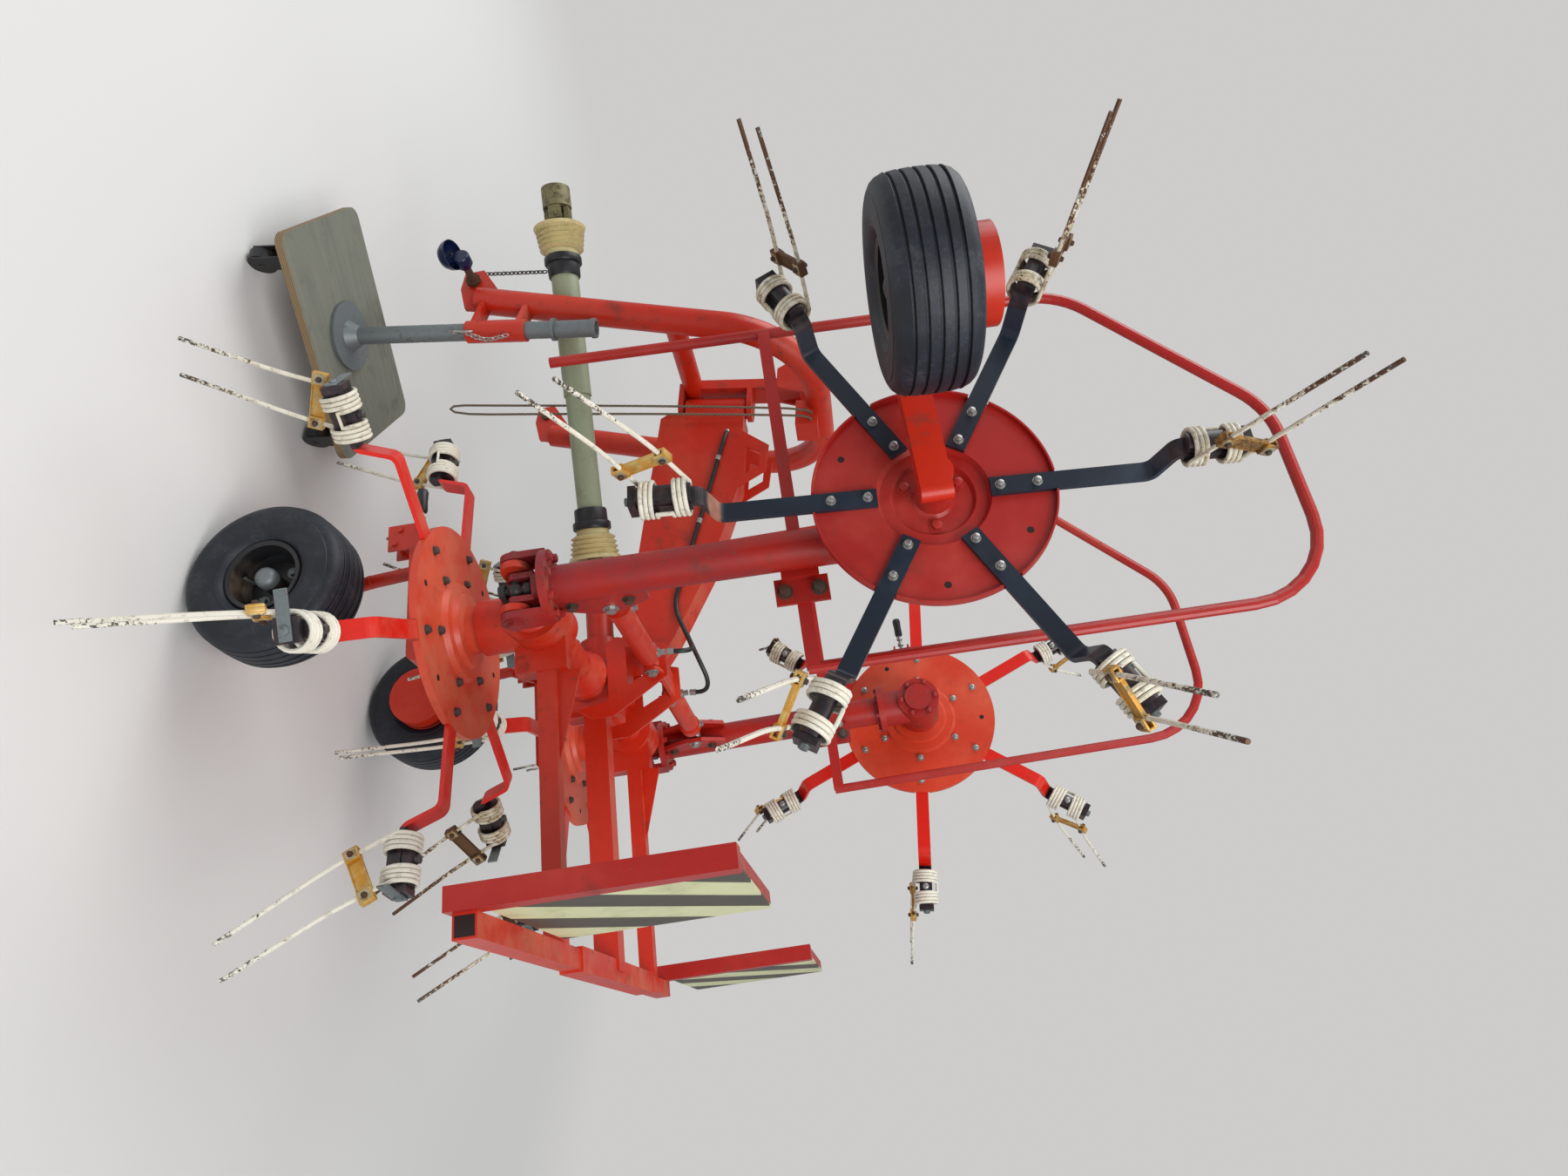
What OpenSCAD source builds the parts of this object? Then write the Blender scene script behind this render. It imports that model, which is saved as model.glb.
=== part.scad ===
// Four-rotor hay tedder, parked with both booms folded up.
// +X is the machine's right side, +Y its tractor side, +Z up, in millimetres.
// The floor is z = 0 and the origin is the middle of the floor that the machine covers.

/* [Stance] */
// Forward tilt of the whole frame as it stands parked, in degrees
tilt = 9.8; // [8:0.1:11]
// Height of the cross axle above the floor
axle_height = 862; // [855:1:875]
// Angle that the booms are folded up from the cross axle, in degrees
fold = 92; // [88:1:93]

/* [Rotors] */
// Distance of the inner rotors from the middle of the machine
inner_x = 460; // [450:1:470]
// Height of the cross axle above the inner discs
inner_drop = 185; // [175:1:190]
// Distance of the boom hinges from the middle of the machine
hinge_x = 621; // [610:1:640]
// Distance from the boom hinge to the outer rotor's axis
boom_reach = 911; // [900:1:930]
// Height of the boom's middle line above the outer discs
outer_drop = 155; // [150:1:165]
// Diameter of the pressed rotor disc
disc_d = 500; // [490:1:515]
// Thickness of the disc's sheet
disc_t = 4; // [3:0.5:5]
// Depth of the disc's turned-down rim
disc_lip = 15; // [10:1:20]
// Length of the neck between a disc and its gearbox
neck_h = 55; // [50:1:60]
// Diameter of the fixed spindle that a rotor turns on
spindle_d = 45; // [40:1:50]

/* [Tine arms] */
// Number of arms on one rotor
arms = 6; // [6:1:6]
// Width of the flat arm bar
arm_w = 40; // [32:1:46]
// Thickness of the flat arm bar
arm_t = 10; // [8:1:12]
// Radius at which the arm bar begins under its disc
arm_start = 115; // [108:1:125]
// Radius at which the arm bends down
arm_bend = 438; // [430:1:442]
// Depth of the spool below the disc
spool_drop = 86; // [80:1:92]
// Length of the spool that carries the coils
spool_l = 140; // [132:1:150]

/* [Tines] */
// Thickness of the spring wire
wire_d = 9.5; // [8:0.5:10]
// Radius of a coil at the middle of its wire
coil_r = 35; // [33:0.5:37]
// Number of turns in one coil
coil_turns = 4; // [3:1:4]
// Distance between the two coils of a tine, middle to middle
coil_gap = 66; // [60:1:72]
// Depth of the clamp plate below the coils
clamp_drop = 84; // [75:1:95]
// Radius of the inner finger's tip
tip_in_r = 672; // [650:1:690]
// Depth of the inner finger's tip below the disc
tip_in_drop = 420; // [405:1:425]
// Radius of the outer finger's tip
tip_out_r = 745; // [720:1:760]
// Depth of the outer finger's tip below the disc
tip_out_drop = 392; // [380:1:400]
// Distance that the tips trail behind their arm
tip_trail = 58; // [45:1:65]

/* [Wheels] */
// Outer diameter of a tyre
tyre_d = 390; // [380:2:396]
// Width of a tyre
tyre_w = 163; // [150:1:166]
// Diameter of the rim at the tyre's bead
bead_d = 168; // [160:1:176]
// Diameter of the wheel's axle
axle_d = 25; // [20:1:30]
// Diameter of the curved tube of a wheel leg
leg_d = 34; // [30:1:38]
// Height of the box arm that carries a wheel leg
box_h = 64; // [58:1:68]
// Diameter of the wrap guard beside a tyre
wrap_d = 184; // [170:1:196]
// Width of the wrap guard
wrap_w = 42; // [36:1:46]
// Distance of the inner wheels ahead of their rotor's axis
inner_lead = 199; // [190:1:210]
// Distance of the outer wheels ahead of their rotor's axis
outer_lead = 205; // [195:1:215]
// Depth of the outer wheels' middle below their disc
outer_wheel_drop = 394; // [385:1:400]

/* [Booms] */
// Diameter of a boom tube
boom_d = 86; // [80:1:92]
// Diameter of a boom's round flange at its hinge
flange_d = 160; // [150:1:162]
// Diameter of the cross axle's round flange at the hinge
axle_flange_d = 114; // [106:1:115]
// Thickness of a hinge ear
ear_t = 16; // [14:1:18]
// Diameter of a boom's hinge pins
hinge_pin_d = 25; // [20:1:28]
// Diameter of the guard hoop's tube
hoop_d = 27; // [24:1:30]
// Height of the guard hoop above the boom's middle line
hoop_h = 72; // [70:1:80]

/* [Fold cylinders] */
// Distance of the cylinders' fixed pins from the middle of the machine
cylinder_x = 120; // [118:1:124]
// Height of the cylinders' fixed pins above the cross axle
cylinder_h = 190; // [186:1:194]
// Diameter of a cylinder's barrel
barrel_d = 56; // [50:1:60]
// Diameter of a cylinder's rod
rod_d = 28; // [25:1:30]
// Place of the cylinder's lug along the boom, from its hinge
lug_along = 190; // [186:1:194]
// Height of the cylinder's lug above the boom's middle line
lug_h = 84; // [82:1:88]

/* [Rear bar and panels] */
// Distance of the rear bar behind the cross axle
rear_y = 743; // [735:1:760]
// Width of the square tubes of the rear frame
rear_tube = 42; // [36:1:46]
// Height of a panel post
post_h = 480; // [460:1:500]
// Width and height of a warning panel
panel_w = 420; // [400:1:440]
// Thickness of a warning panel
panel_t = 4; // [3:0.5:6]

/* [Headstock] */
// Half the distance between the headstock's legs
leg_x = 350; // [340:1:360]
// Diameter of the headstock's tube
arch_d = 76; // [70:1:80]
// Radius of the headstock's bends
arch_bend = 250; // [230:1:270]
// Diameter of the lower hitch pins
hitch_pin_d = 22; // [22:1:24]
// Diameter of the top link's hole
top_hole_d = 19.5; // [19:0.5:21]
// Distance of the king pin ahead of the cross axle
king_y = 903; // [896:1:906]
// Diameter of the king pin
king_d = 40; // [36:1:44]

/* [Stand and dolly] */
// Diameter of the stand leg's tube
stand_d = 48; // [44:1:50]
// Height of the stand leg's top above the floor
stand_top = 745; // [720:1:760]
// Diameter of the stand leg's foot plate
foot_d = 190; // [180:1:200]
// Length of the dolly's board
board_l = 620; // [600:1:640]
// Width of the dolly's board
board_w = 420; // [400:1:440]
// Height of the board's top above the floor
board_top = 146; // [140:1:148]
// Thickness of the dolly's board
board_t = 22; // [18:1:26]

/* [Drive shaft] */
// Outer diameter of the drive shaft's guard tube
guard_d = 80; // [74:1:84]
// Largest diameter of the guard's end cones
cone_d = 152; // [140:1:158]
// Bore of the free yoke
shaft_bore_d = 35; // [34:0.5:36]

/* [Hidden] */
// Gap between a turning or sliding piece and its seat
seat_gap = 0.3;
// Middle of the floor that the machine covers
center_x = 0;
center_y = 305.2;
$fn = 48;

SIDE = 0;
OUTER = 1;
PHASE = 2;
TRAIL = 3;
LEG_SIDE = 4;
// Columns: side, outer or inner, first arm's angle, side the tines trail to, side of the wheel its leg is on
inner_left = [-1, false, 38.7, 1, -1];
inner_right = [1, false, 9, 1, -1];
outer_left = [-1, true, -3.1, -1, 1];
outer_right = [1, true, 21.6, -1, 1];

red = "#c8381c";
deep_red = "#b82a22";
steel = "#9a9a96";
dark = "#25272b";
cream = "#d9d2b4";

// Turns a point of the tilted machine frame into floor coordinates, and back
function to_floor(p) = [p.x, p.y * cos(tilt) + p.z * sin(tilt),
    axle_height - p.y * sin(tilt) + p.z * cos(tilt)];
function to_machine(p) = let (h = p.z - axle_height)
    [p.x, p.y * cos(tilt) - h * sin(tilt), p.y * sin(tilt) + h * cos(tilt)];

// Point of a boom's own frame (along, forward, above) in the machine frame, for the right side
function boom_point(p) = [hinge_x + p.x * cos(fold) - p.z * sin(fold), p.y,
    p.x * sin(fold) + p.z * cos(fold)];

// Middle of an inner wheel below its disc, so that its tyre stands on the floor
inner_wheel_drop = (axle_height - tyre_d / 2 - inner_lead * sin(tilt)) / cos(tilt) - inner_drop;

module on_floor() translate([-center_x, -center_y, 0]) children();
module machine() on_floor() translate([0, 0, axle_height]) rotate([-tilt, 0, 0]) children();
module on_side(side) {
    if (side < 0) mirror([1, 0, 0]) children();
    else children();
}
module boom_frame(side) machine() on_side(side) translate([hinge_x, 0, 0]) rotate([0, -fold, 0]) children();
module rotor_frame(r) {
    if (r[OUTER]) boom_frame(r[SIDE]) translate([boom_reach, 0, -outer_drop]) children();
    else machine() on_side(r[SIDE]) translate([inner_x, 0, -inner_drop]) children();
}

// Round bar from point p to point q
module bar(p, q, d) {
    v = q - p;
    translate(p) rotate([0, acos(v.z / norm(v)), atan2(v.y, v.x)]) cylinder(h = norm(v), d = d);
}

// Round bar through a list of points, with a slightly thicker ball at each bend
module bent_bar(points, d) {
    for (i = [0 : len(points) - 2]) bar(points[i], points[i + 1], d);
    for (i = [1 : 1 : len(points) - 2]) translate(points[i]) sphere(d = d * 1.05);
}

// Tube in the XY plane through corner points, each corner rounded with a true bend of radius r
module bent_tube(corners, d, r) {
    n = len(corners);
    turn = [for (i = [1 : n - 2]) let (a = corners[i] - corners[i - 1], b = corners[i + 1] - corners[i])
        atan2(a.x * b.y - a.y * b.x, a * b)];
    cut = [for (t = turn) r * tan(abs(t) / 2)];
    for (i = [0 : n - 2]) {
        v = corners[i + 1] - corners[i];
        u = v / norm(v);
        from = i == 0 ? corners[0] : corners[i] + u * cut[i - 1];
        to = i == n - 2 ? corners[n - 1] : corners[i + 1] - u * cut[i];
        bar([from.x, from.y, 0], [to.x, to.y, 0], d);
    }
    for (i = [1 : n - 2]) {
        v = corners[i] - corners[i - 1];
        u = v / norm(v);
        s = sign(turn[i - 1]);
        start = corners[i] - u * cut[i - 1];
        middle = start + s * r * [-u.y, u.x];
        translate([middle.x, middle.y, 0])
            rotate([0, 0, atan2(start.y - middle.y, start.x - middle.x) - (s < 0 ? abs(turn[i - 1]) : 0)])
                rotate_extrude(angle = abs(turn[i - 1]), $fn = 96) translate([r, 0]) circle(d = d);
    }
}

// Route through corner points in a plane, each corner rounded by an arc of radius r in n steps
function rounded_route(c, r, n) = concat([c[0]], [for (i = [1 : len(c) - 2])
    let (u = (c[i] - c[i - 1]) / norm(c[i] - c[i - 1]), v = (c[i + 1] - c[i]) / norm(c[i + 1] - c[i]),
        turn = atan2(u.x * v.y - u.y * v.x, u * v), s = sign(turn), start = c[i] - u * r * tan(abs(turn) / 2),
        middle = start + s * r * [-u.y, u.x], a0 = atan2(start.y - middle.y, start.x - middle.x))
    for (k = [0 : n]) middle + r * [cos(a0 + turn * k / n), sin(a0 + turn * k / n)]], [c[len(c) - 1]]);

// Tube swept along a list of points and closed by end faces; the route never runs along the vector across
module swept_tube(route, d, sides, across) {
    last = len(route) - 1;
    along = [for (i = [0 : last]) let (a = route[max(i - 1, 0)], b = route[min(i + 1, last)]) (b - a) / norm(b - a)];
    ring = [for (i = [0 : last]) let (side = cross(along[i], across), u = side / norm(side), w = cross(along[i], u))
        [for (k = [0 : sides - 1]) route[i] + d / 2 * (cos(k * 360 / sides) * u + sin(k * 360 / sides) * w)]];
    points = [for (r = ring, p = r) p];
    walls = [for (i = [0 : last - 1], k = [0 : sides - 1]) let (n = (k + 1) % sides)
        [i * sides + k, (i + 1) * sides + k, (i + 1) * sides + n, i * sides + n]];
    caps = [[for (k = [0 : sides - 1]) k], [for (k = [sides - 1 : -1 : 0]) last * sides + k]];
    polyhedron(points, concat(walls, caps), convexity = 6);
}

// Plate in the YZ plane from an outline of [y, z] points, centred on x
module side_plate(outline, thick, x = 0) {
    translate([x - thick / 2, 0, 0]) rotate([90, 0, 90]) linear_extrude(thick) polygon(outline);
}

// Rotors
hub_top = neck_h - 1;
hub_bore = spindle_d + 2 * seat_gap;

module rotor_disc(r, tint) {
    rim_r = disc_d / 2;
    half = disc_t / 2;
    color(tint) rotor_frame(r) difference() {
        rotate_extrude($fn = 96) polygon([
        [hub_bore / 2, -34], [hub_bore / 2, hub_top], [55, hub_top], [56, 28], [84, 26], [90, 15],
        [112, 14], [120, half], [rim_r, half], [rim_r, -disc_lip], [rim_r - disc_t, -disc_lip],
        [rim_r - disc_t, -half], [118, -half], [110, 10], [88, 11], [81, 21], [44, 22],
        [38, 16], [38, -34]]);
        for (i = [0 : arms - 1]) rotate([0, 0, r[PHASE] + i * 360 / arms])
            translate([rim_r - 12, -arm_w / 2 - 3, -disc_lip - 5]) cube([20, arm_w + 6, disc_lip + 5 - half]);
    }
}

// Outline of a strip of thickness t along a route of points
function strip(route, t) = let (n = len(route) - 1, out = [for (i = [0 : n])
    let (v = route[min(i + 1, n)] - route[max(i - 1, 0)]) t / 2 * [-v.y, v.x] / norm(v)])
    concat([for (i = [0 : n]) route[i] + out[i]], [for (i = [n : -1 : 0]) route[i] - out[i]]);

// One arm: flat bar with a round S-bend, the saddle inside its coils and the block that ends it
spool_z = -spool_drop;
crank_run = 31;
crank_bend = 22;
spool_start = arm_bend + crank_run;
spool_end = spool_start + spool_l;
spool_d = 2 * coil_r - wire_d - 2 * seat_gap;
end_block = 16;
saddle_w = arm_w - 6;
module arm_bar() {
    bar_z = -(disc_t + arm_t) / 2;
    rotate([90, 0, 0]) linear_extrude(arm_w, center = true) polygon(strip(rounded_route([[arm_start, bar_z],
        [arm_bend, bar_z], [arm_bend + crank_run, spool_z], [spool_end - 2, spool_z]], crank_bend, 5), arm_t));
    saddle_l = spool_l - 2 * end_block + 2;
    translate([spool_start + end_block - 1, 0, spool_z]) rotate([0, 90, 0]) intersection() {
        cylinder(h = saddle_l, d = spool_d);
        translate([-spool_d, -saddle_w / 2, 0]) cube([2 * spool_d, saddle_w, saddle_l]);
    }
    translate([spool_end - end_block, -23, spool_z - 23]) cube([end_block, 46, 46]);
}
module rotor_arms(r, tint) {
    color(tint) rotor_frame(r) for (i = [0 : arms - 1])
        rotate([0, 0, r[PHASE] + i * 360 / arms]) arm_bar();
}

// One double spring tine on its spool, with the clamp plate that ties its fingers
coil_mid = spool_start + 5 + (spool_l - 11) / 2;
coil_pitch = wire_d + 0.4;
coil_half = (coil_turns - 1) * coil_pitch / 2;
module coil() {
    half = coil_half + coil_pitch / 2;
    outer = coil_r + wire_d / 2;
    groove = 2.6;
    rotate([0, 90, 0]) rotate_extrude() polygon(concat(
        [for (i = [0 : coil_turns - 1], k = [[0, groove], [0.22, 0], [0.78, 0]])
            [outer - k.y, (i + k.x) * coil_pitch - half]],
        [[outer - groove, half], [coil_r - wire_d / 2, half], [coil_r - wire_d / 2, -half]]));
}
module finger(start_r, tip, trail) {
    start = [start_r, trail * coil_r, spool_z];
    down = (tip.y + spool_z) * -1;
    slope = (tip.x - start_r) / down;
    kink_drop = 118;
    kink = [start_r + kink_drop * slope * 0.86, trail * (coil_r + 12), spool_z - kink_drop];
    bent_bar([start, kink, [tip.x, trail * tip_trail, -tip.y]], wire_d);
}
module tine(trail) {
    in_r = coil_mid - coil_gap / 2;
    out_r = coil_mid + coil_gap / 2;
    finger_in = in_r - coil_half - coil_pitch * 0.4;
    finger_out = out_r + coil_half + coil_pitch * 0.4;
    translate([in_r, 0, spool_z]) coil();
    translate([out_r, 0, spool_z]) coil();
    bar([in_r, -trail * coil_r, spool_z], [out_r, -trail * coil_r, spool_z], wire_d - 1);
    finger(finger_in, [tip_in_r, tip_in_drop], trail);
    finger(finger_out, [tip_out_r, tip_out_drop], trail);
    lean_in = (tip_in_r - finger_in) / (tip_in_drop - spool_drop) * 0.86;
    lean_out = (tip_out_r - finger_out) / (tip_out_drop - spool_drop) * 0.86;
    at_in = finger_in + clamp_drop * lean_in;
    at_out = finger_out + clamp_drop * lean_out;
    span = at_out - at_in;
    translate([at_in, trail * (coil_r + 8), spool_z - clamp_drop]) rotate([0, -atan((lean_in + lean_out) / 2), 0]) {
        translate([0, -3, -13]) cube([span, 6, 26]);
        for (x = [0, span]) translate([x - 14, -8, -15]) cube([28, 16, 30]);
    }
}
module rotor_tines(r, tint) {
    color(tint) rotor_frame(r) for (i = [0 : arms - 1])
        rotate([0, 0, r[PHASE] + i * 360 / arms]) tine(r[TRAIL]);
}

// Wheels
function wheel_at(r) = r[OUTER] ? [-10, outer_lead, -outer_wheel_drop] : [6, inner_lead, -inner_wheel_drop];
module wheel_frame(r) rotor_frame(r) translate(wheel_at(r)) rotate([0, 90, 0]) children();
bead_w = tyre_w * 0.78;
rim_t = 4;

module tyre(r) {
    half = tyre_w / 2;
    crown = tyre_d / 2;
    bead = bead_d / 2;
    color(dark) wheel_frame(r) rotate_extrude($fn = 96) polygon([
        [bead, 5 - bead_w / 2], [bead + 12, 1 - bead_w / 2], [bead + 34, -half + 2], [crown - 50, -half],
        [crown - 28, -half + 5], [crown - 11, -half + 16], [crown - 4, -half + 36], [crown, -half + 60],
        [crown, half - 60], [crown - 4, half - 36], [crown - 11, half - 16], [crown - 28, half - 5],
        [crown - 50, half], [bead + 34, half - 2], [bead + 12, bead_w / 2 - 1],
        [bead, bead_w / 2 - 5]]);
}

// Pressed rim with a deep dish on the side away from the leg
module rim(r, tint) {
    bead = bead_d / 2;
    half = bead_w / 2;
    hub_r = axle_d / 2 + seat_gap;
    color(tint) wheel_frame(r) mirror([0, 0, r[LEG_SIDE] > 0 ? 1 : 0]) rotate_extrude($fn = 96) polygon([
        [hub_r, -52], [hub_r, 30], [24, 30], [24, -8], [bead - 16, -8], [bead - rim_t, 12],
        [bead - rim_t, half], [bead + 6, half + 4], [bead + 8, half + 1], [bead, half - 4.7],
        [bead, 4.7 - half], [bead + 8, -half - 1], [bead + 6, -half - 4], [bead - rim_t, -half],
        [bead - rim_t, 2], [bead - 14, -14], [30, -14], [30, -52]]);
}

// Fixed spindle, box arm, slotted bracket, curved leg, axle and wrap guard of one wheel
box_z = -95;
box_t = 40;
wheel_gap = 5;
module wheel_leg(r) {
    w = wheel_at(r);
    s = r[LEG_SIDE];
    guard_in = tyre_w / 2 + wheel_gap;
    leg_at = w.x + s * (guard_in + wrap_w / 2);
    color(red) rotor_frame(r) {
        translate([0, 0, -60]) cylinder(h = 60 + neck_h, d = spindle_d);
        translate([0, 0, box_z]) cylinder(h = -35 - box_z - seat_gap * 2, d = spindle_d + 22);
        translate([w.x - box_h / 2, -48, box_z - box_t / 2]) cube([box_h, w.y + 88, box_t]);
        bar([w.x - box_h / 2, -48, box_z], [w.x + box_h / 2, -48, box_z], box_t);
        for (k = [-1, 1]) translate([w.x + k * 24 - 3, w.y + 30, box_z - 76]) cube([6, 68, 92]);
        for (p = [[48, -60], [84, -46], [84, 2]])
            bar([w.x - 33, w.y + p.x, box_z + p.y], [w.x + 33, w.y + p.x, box_z + p.y], 14);
        bent_bar([[w.x + s * 10, w.y + 36, box_z - 8], [leg_at, w.y + 38, box_z - 68],
            [leg_at, w.y + 30, (box_z + w.z) / 2], [leg_at, w.y, w.z]], leg_d);
        difference() {
            bar([w.x + s * guard_in, w.y, w.z], [w.x + s * (guard_in + wrap_w), w.y, w.z], wrap_d);
            bar([w.x + s * (guard_in - 1), w.y, w.z], [w.x + s * (guard_in + 8), w.y, w.z], wrap_d - 12);
        }
        bar([w.x - s * 48, w.y, w.z], [w.x + s * (guard_in + wrap_w - 2), w.y, w.z], axle_d);
        bar([w.x - s * 30.8, w.y, w.z], [w.x - s * 40, w.y, w.z], 44);
    }
}

// Booms
ear_in = 44;
flange_at = 66;
flange_t = 18;
// Pair of hinge ears about the Y axis, from a flange to the pin, mirrored in y
module hinge_ears(start, hole) {
    for (s = [-1, 1]) translate([0, s * start + (s < 0 ? 0 : ear_t), 0]) rotate([90, 0, 0]) difference() {
        union() {
            cylinder(h = ear_t, d = 64);
            translate([0, -32, 0]) cube([flange_at + 8, 64, ear_t]);
        }
        if (hole > 0) translate([0, 0, -1]) cylinder(h = ear_t + 2, d = hole);
    }
}
yoke_at = 28;
cross_pin_d = 16;
module yoke_half(base) {
    for (s = [-1, 1]) translate([0, s * yoke_at, 0]) rotate([90, 0, 0]) difference() {
        union() {
            cylinder(h = 14, d = 30, center = true);
            translate([0, -15, -7]) cube([44, 30, 14]);
        }
        cylinder(h = 16, d = cross_pin_d + 2 * seat_gap, center = true);
    }
    translate([42, 0, 0]) rotate([0, 90, 0]) cylinder(h = base, d = 68);
}
gearbox_d = 130;
module boom(side) {
    color(red) boom_frame(side) {
        translate([flange_at, 0, 0]) rotate([0, 90, 0]) cylinder(h = flange_t, d = flange_d);
        hinge_ears(ear_in + ear_t + 3, hinge_pin_d + 2 * seat_gap);
        yoke_half(flange_at - 41);
        translate([flange_at, 0, 0]) rotate([0, 90, 0]) cylinder(h = 800 - flange_at, d = boom_d);
        translate([782, 0, 0]) rotate([0, 90, 0]) cylinder(h = 20, d = 150);
        translate([800, 0, 0]) rotate([0, 90, 0]) cylinder(h = boom_reach - 800, d = gearbox_d * 0.84);
        translate([boom_reach, 0, neck_h - outer_drop]) cylinder(h = outer_drop - neck_h + 66, d = gearbox_d);
        translate([boom_reach, 0, 66]) cylinder(h = 12, d = 84);
        for (s = [-1, 1]) difference() {
            translate([0, s * 29 + 6, 0]) rotate([90, 0, 0]) linear_extrude(12) polygon([[flange_at + flange_t - 1, 20],
                [flange_at + flange_t - 1, 66], [lug_along - 44, lug_h + 14], [lug_along - 24, lug_h + 20],
                [lug_along + 24, lug_h + 20], [lug_along + 92, 62], [lug_along + 92, 20]]);
            translate([lug_along, s * 29, lug_h]) rotate([90, 0, 0]) cylinder(h = 20, d = 20.6, center = true);
        }
        clamp_top = hoop_h - 15;
        translate([crossbar_at - 42, -48, 30]) cube([84, 96, clamp_top - 30]);
        translate([crossbar_at - 60, -104, clamp_top - 8]) cube([120, 62, 8]);
    }
}

// Guard hoop with its square crossbar
hoop_front = 650;
hoop_back = -250;
crossbar_at = 620;
hoop_corners = [[75, hoop_front + 18], [1365, hoop_front], [1762, hoop_front - 420],
    [1762, hoop_back], [crossbar_at - 12, hoop_back]];
module guard_hoop(side) {
    route = rounded_route(hoop_corners, 190, 7);
    color(red) boom_frame(side) {
        swept_tube([for (p = route) [p.x, p.y, hoop_h]], hoop_d, 12, [0, 0, 1]);
        translate([crossbar_at - 15, hoop_back, hoop_h - 15]) cube([30, hoop_front - hoop_back + 8, 30]);
    }
}

// Cross axle
rear_start = 125;
center_d = 170;
axle_tube_d = 84;
module axle(side) {
    color(red) machine() on_side(side) {
        translate([center_d / 2 + 12, 0, 0]) rotate([0, 90, 0]) cylinder(h = inner_x - center_d / 2 - 12, d = axle_tube_d);
        translate([center_d / 2 + 12, 0, 0]) rotate([0, 90, 0]) cylinder(h = 60, d1 = 130, d2 = axle_tube_d, $fn = 48);
        translate([inner_x - 70, 0, 0]) rotate([0, 90, 0]) cylinder(h = 130, d = 146);
        translate([inner_x, 0, neck_h - inner_drop]) cylinder(h = inner_drop - neck_h + 10, d = gearbox_d);
        translate([inner_x + 10, 0, 0]) sphere(d = 150);
        translate([inner_x + 50, 0, 0]) rotate([0, 90, 0]) cylinder(h = hinge_x - flange_at - inner_x - 50, d = 96);
        translate([hinge_x - flange_at - 14, 0, 0]) rotate([0, 90, 0]) cylinder(h = 14, d = axle_flange_d);
        translate([hinge_x, 0, 0]) mirror([1, 0, 0]) hinge_ears(ear_in, 0);
        for (s = [-1, 1]) translate([hinge_x, s * (ear_in + ear_t + 3), 0]) rotate([90, 0, 0])
            cylinder(h = 2 * ear_t + 8, d = hinge_pin_d, center = true);
        difference() {
            translate([inner_x - 54, -rear_start, -60]) cube([50, 90, 120]);
            translate([inner_x, 0, 0]) cylinder(h = 300, d = 100, center = true);
        }
    }
}

// Inner half of the drive joint in the hinge, with its cross
module drive_joint(side) {
    color(dark) machine() on_side(side) translate([hinge_x, 0, 0]) {
        mirror([1, 0, 0]) rotate([90, 0, 0]) yoke_half(flange_at - 42);
        bar([0, 0, -34], [0, 0, 34], cross_pin_d);
        bar([0, -34, 0], [0, 34, 0], cross_pin_d);
        sphere(d = 34);
    }
}

// Middle gearbox with its input housing
gearbox_top = 66;
input_end = 310;
input_z = 30;
module center_gearbox() {
    color(red) machine() {
        translate([0, 0, -95]) cylinder(h = 95 + gearbox_top, d = center_d);
        translate([0, 0, -110]) cylinder(h = 16, d = center_d - 40);
        rotate([0, 90, 0]) cylinder(h = center_d + 24, d = 132, center = true);
        translate([-30, -center_d / 2 - 8, -70]) cube([60, 30, 110]);
        translate([0, 60, input_z]) rotate([-90, 0, 0]) cylinder(h = input_end - 60, d = 74);
        translate([0, 60, input_z]) rotate([-90, 0, 0]) cylinder(h = 60, d = 116);
        translate([0, input_end - 14, input_z]) rotate([-90, 0, 0]) cylinder(h = 14, d = 96);
        translate([0, input_end, input_z]) rotate([-90, 0, 0])
            cylinder(h = shaft_joint - joint_ball / 2 - seat_gap, d = 35);
    }
}

// Bracket that straddles the middle gearbox and holds both fold cylinders
bracket_x = 92;
module cylinder_bracket() {
    color(red) machine() {
        for (s = [-1, 1]) difference() {
            side_plate([[-128, 78], [-128, 20], [-100, -20], [-86, 66.3], [80, 66.3], [92, 96], [52, 226], [-38, 226]],
                7, s * bracket_x);
            side_plate([[-20, 180], [42, 180], [58, 118], [-50, 118]], 9, s * bracket_x);
        }
        for (s = [-1, 1], y = [-1, 1]) difference() {
            hull() {
                translate([s * bracket_x, y * 29, cylinder_h - 24]) rotate([90, 0, 0])
                    cylinder(h = 10, d = 6, center = true, $fn = 32);
                translate([s * bracket_x, y * 29, cylinder_h + 24]) rotate([90, 0, 0])
                    cylinder(h = 10, d = 6, center = true, $fn = 32);
                translate([s * cylinder_x, y * 29, cylinder_h]) rotate([90, 0, 0])
                    cylinder(h = 10, d = 40, center = true, $fn = 32);
            }
        }
        for (s = [-1, 1]) translate([s * cylinder_x, 0, cylinder_h]) rotate([90, 0, 0])
            cylinder(h = 80, d = 20, center = true);
        translate([-bracket_x, -38, 200]) cube([2 * bracket_x, 72, 10]);
        translate([-bracket_x, -60, gearbox_top]) cube([2 * bracket_x, 120, 8]);
    }
}

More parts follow.
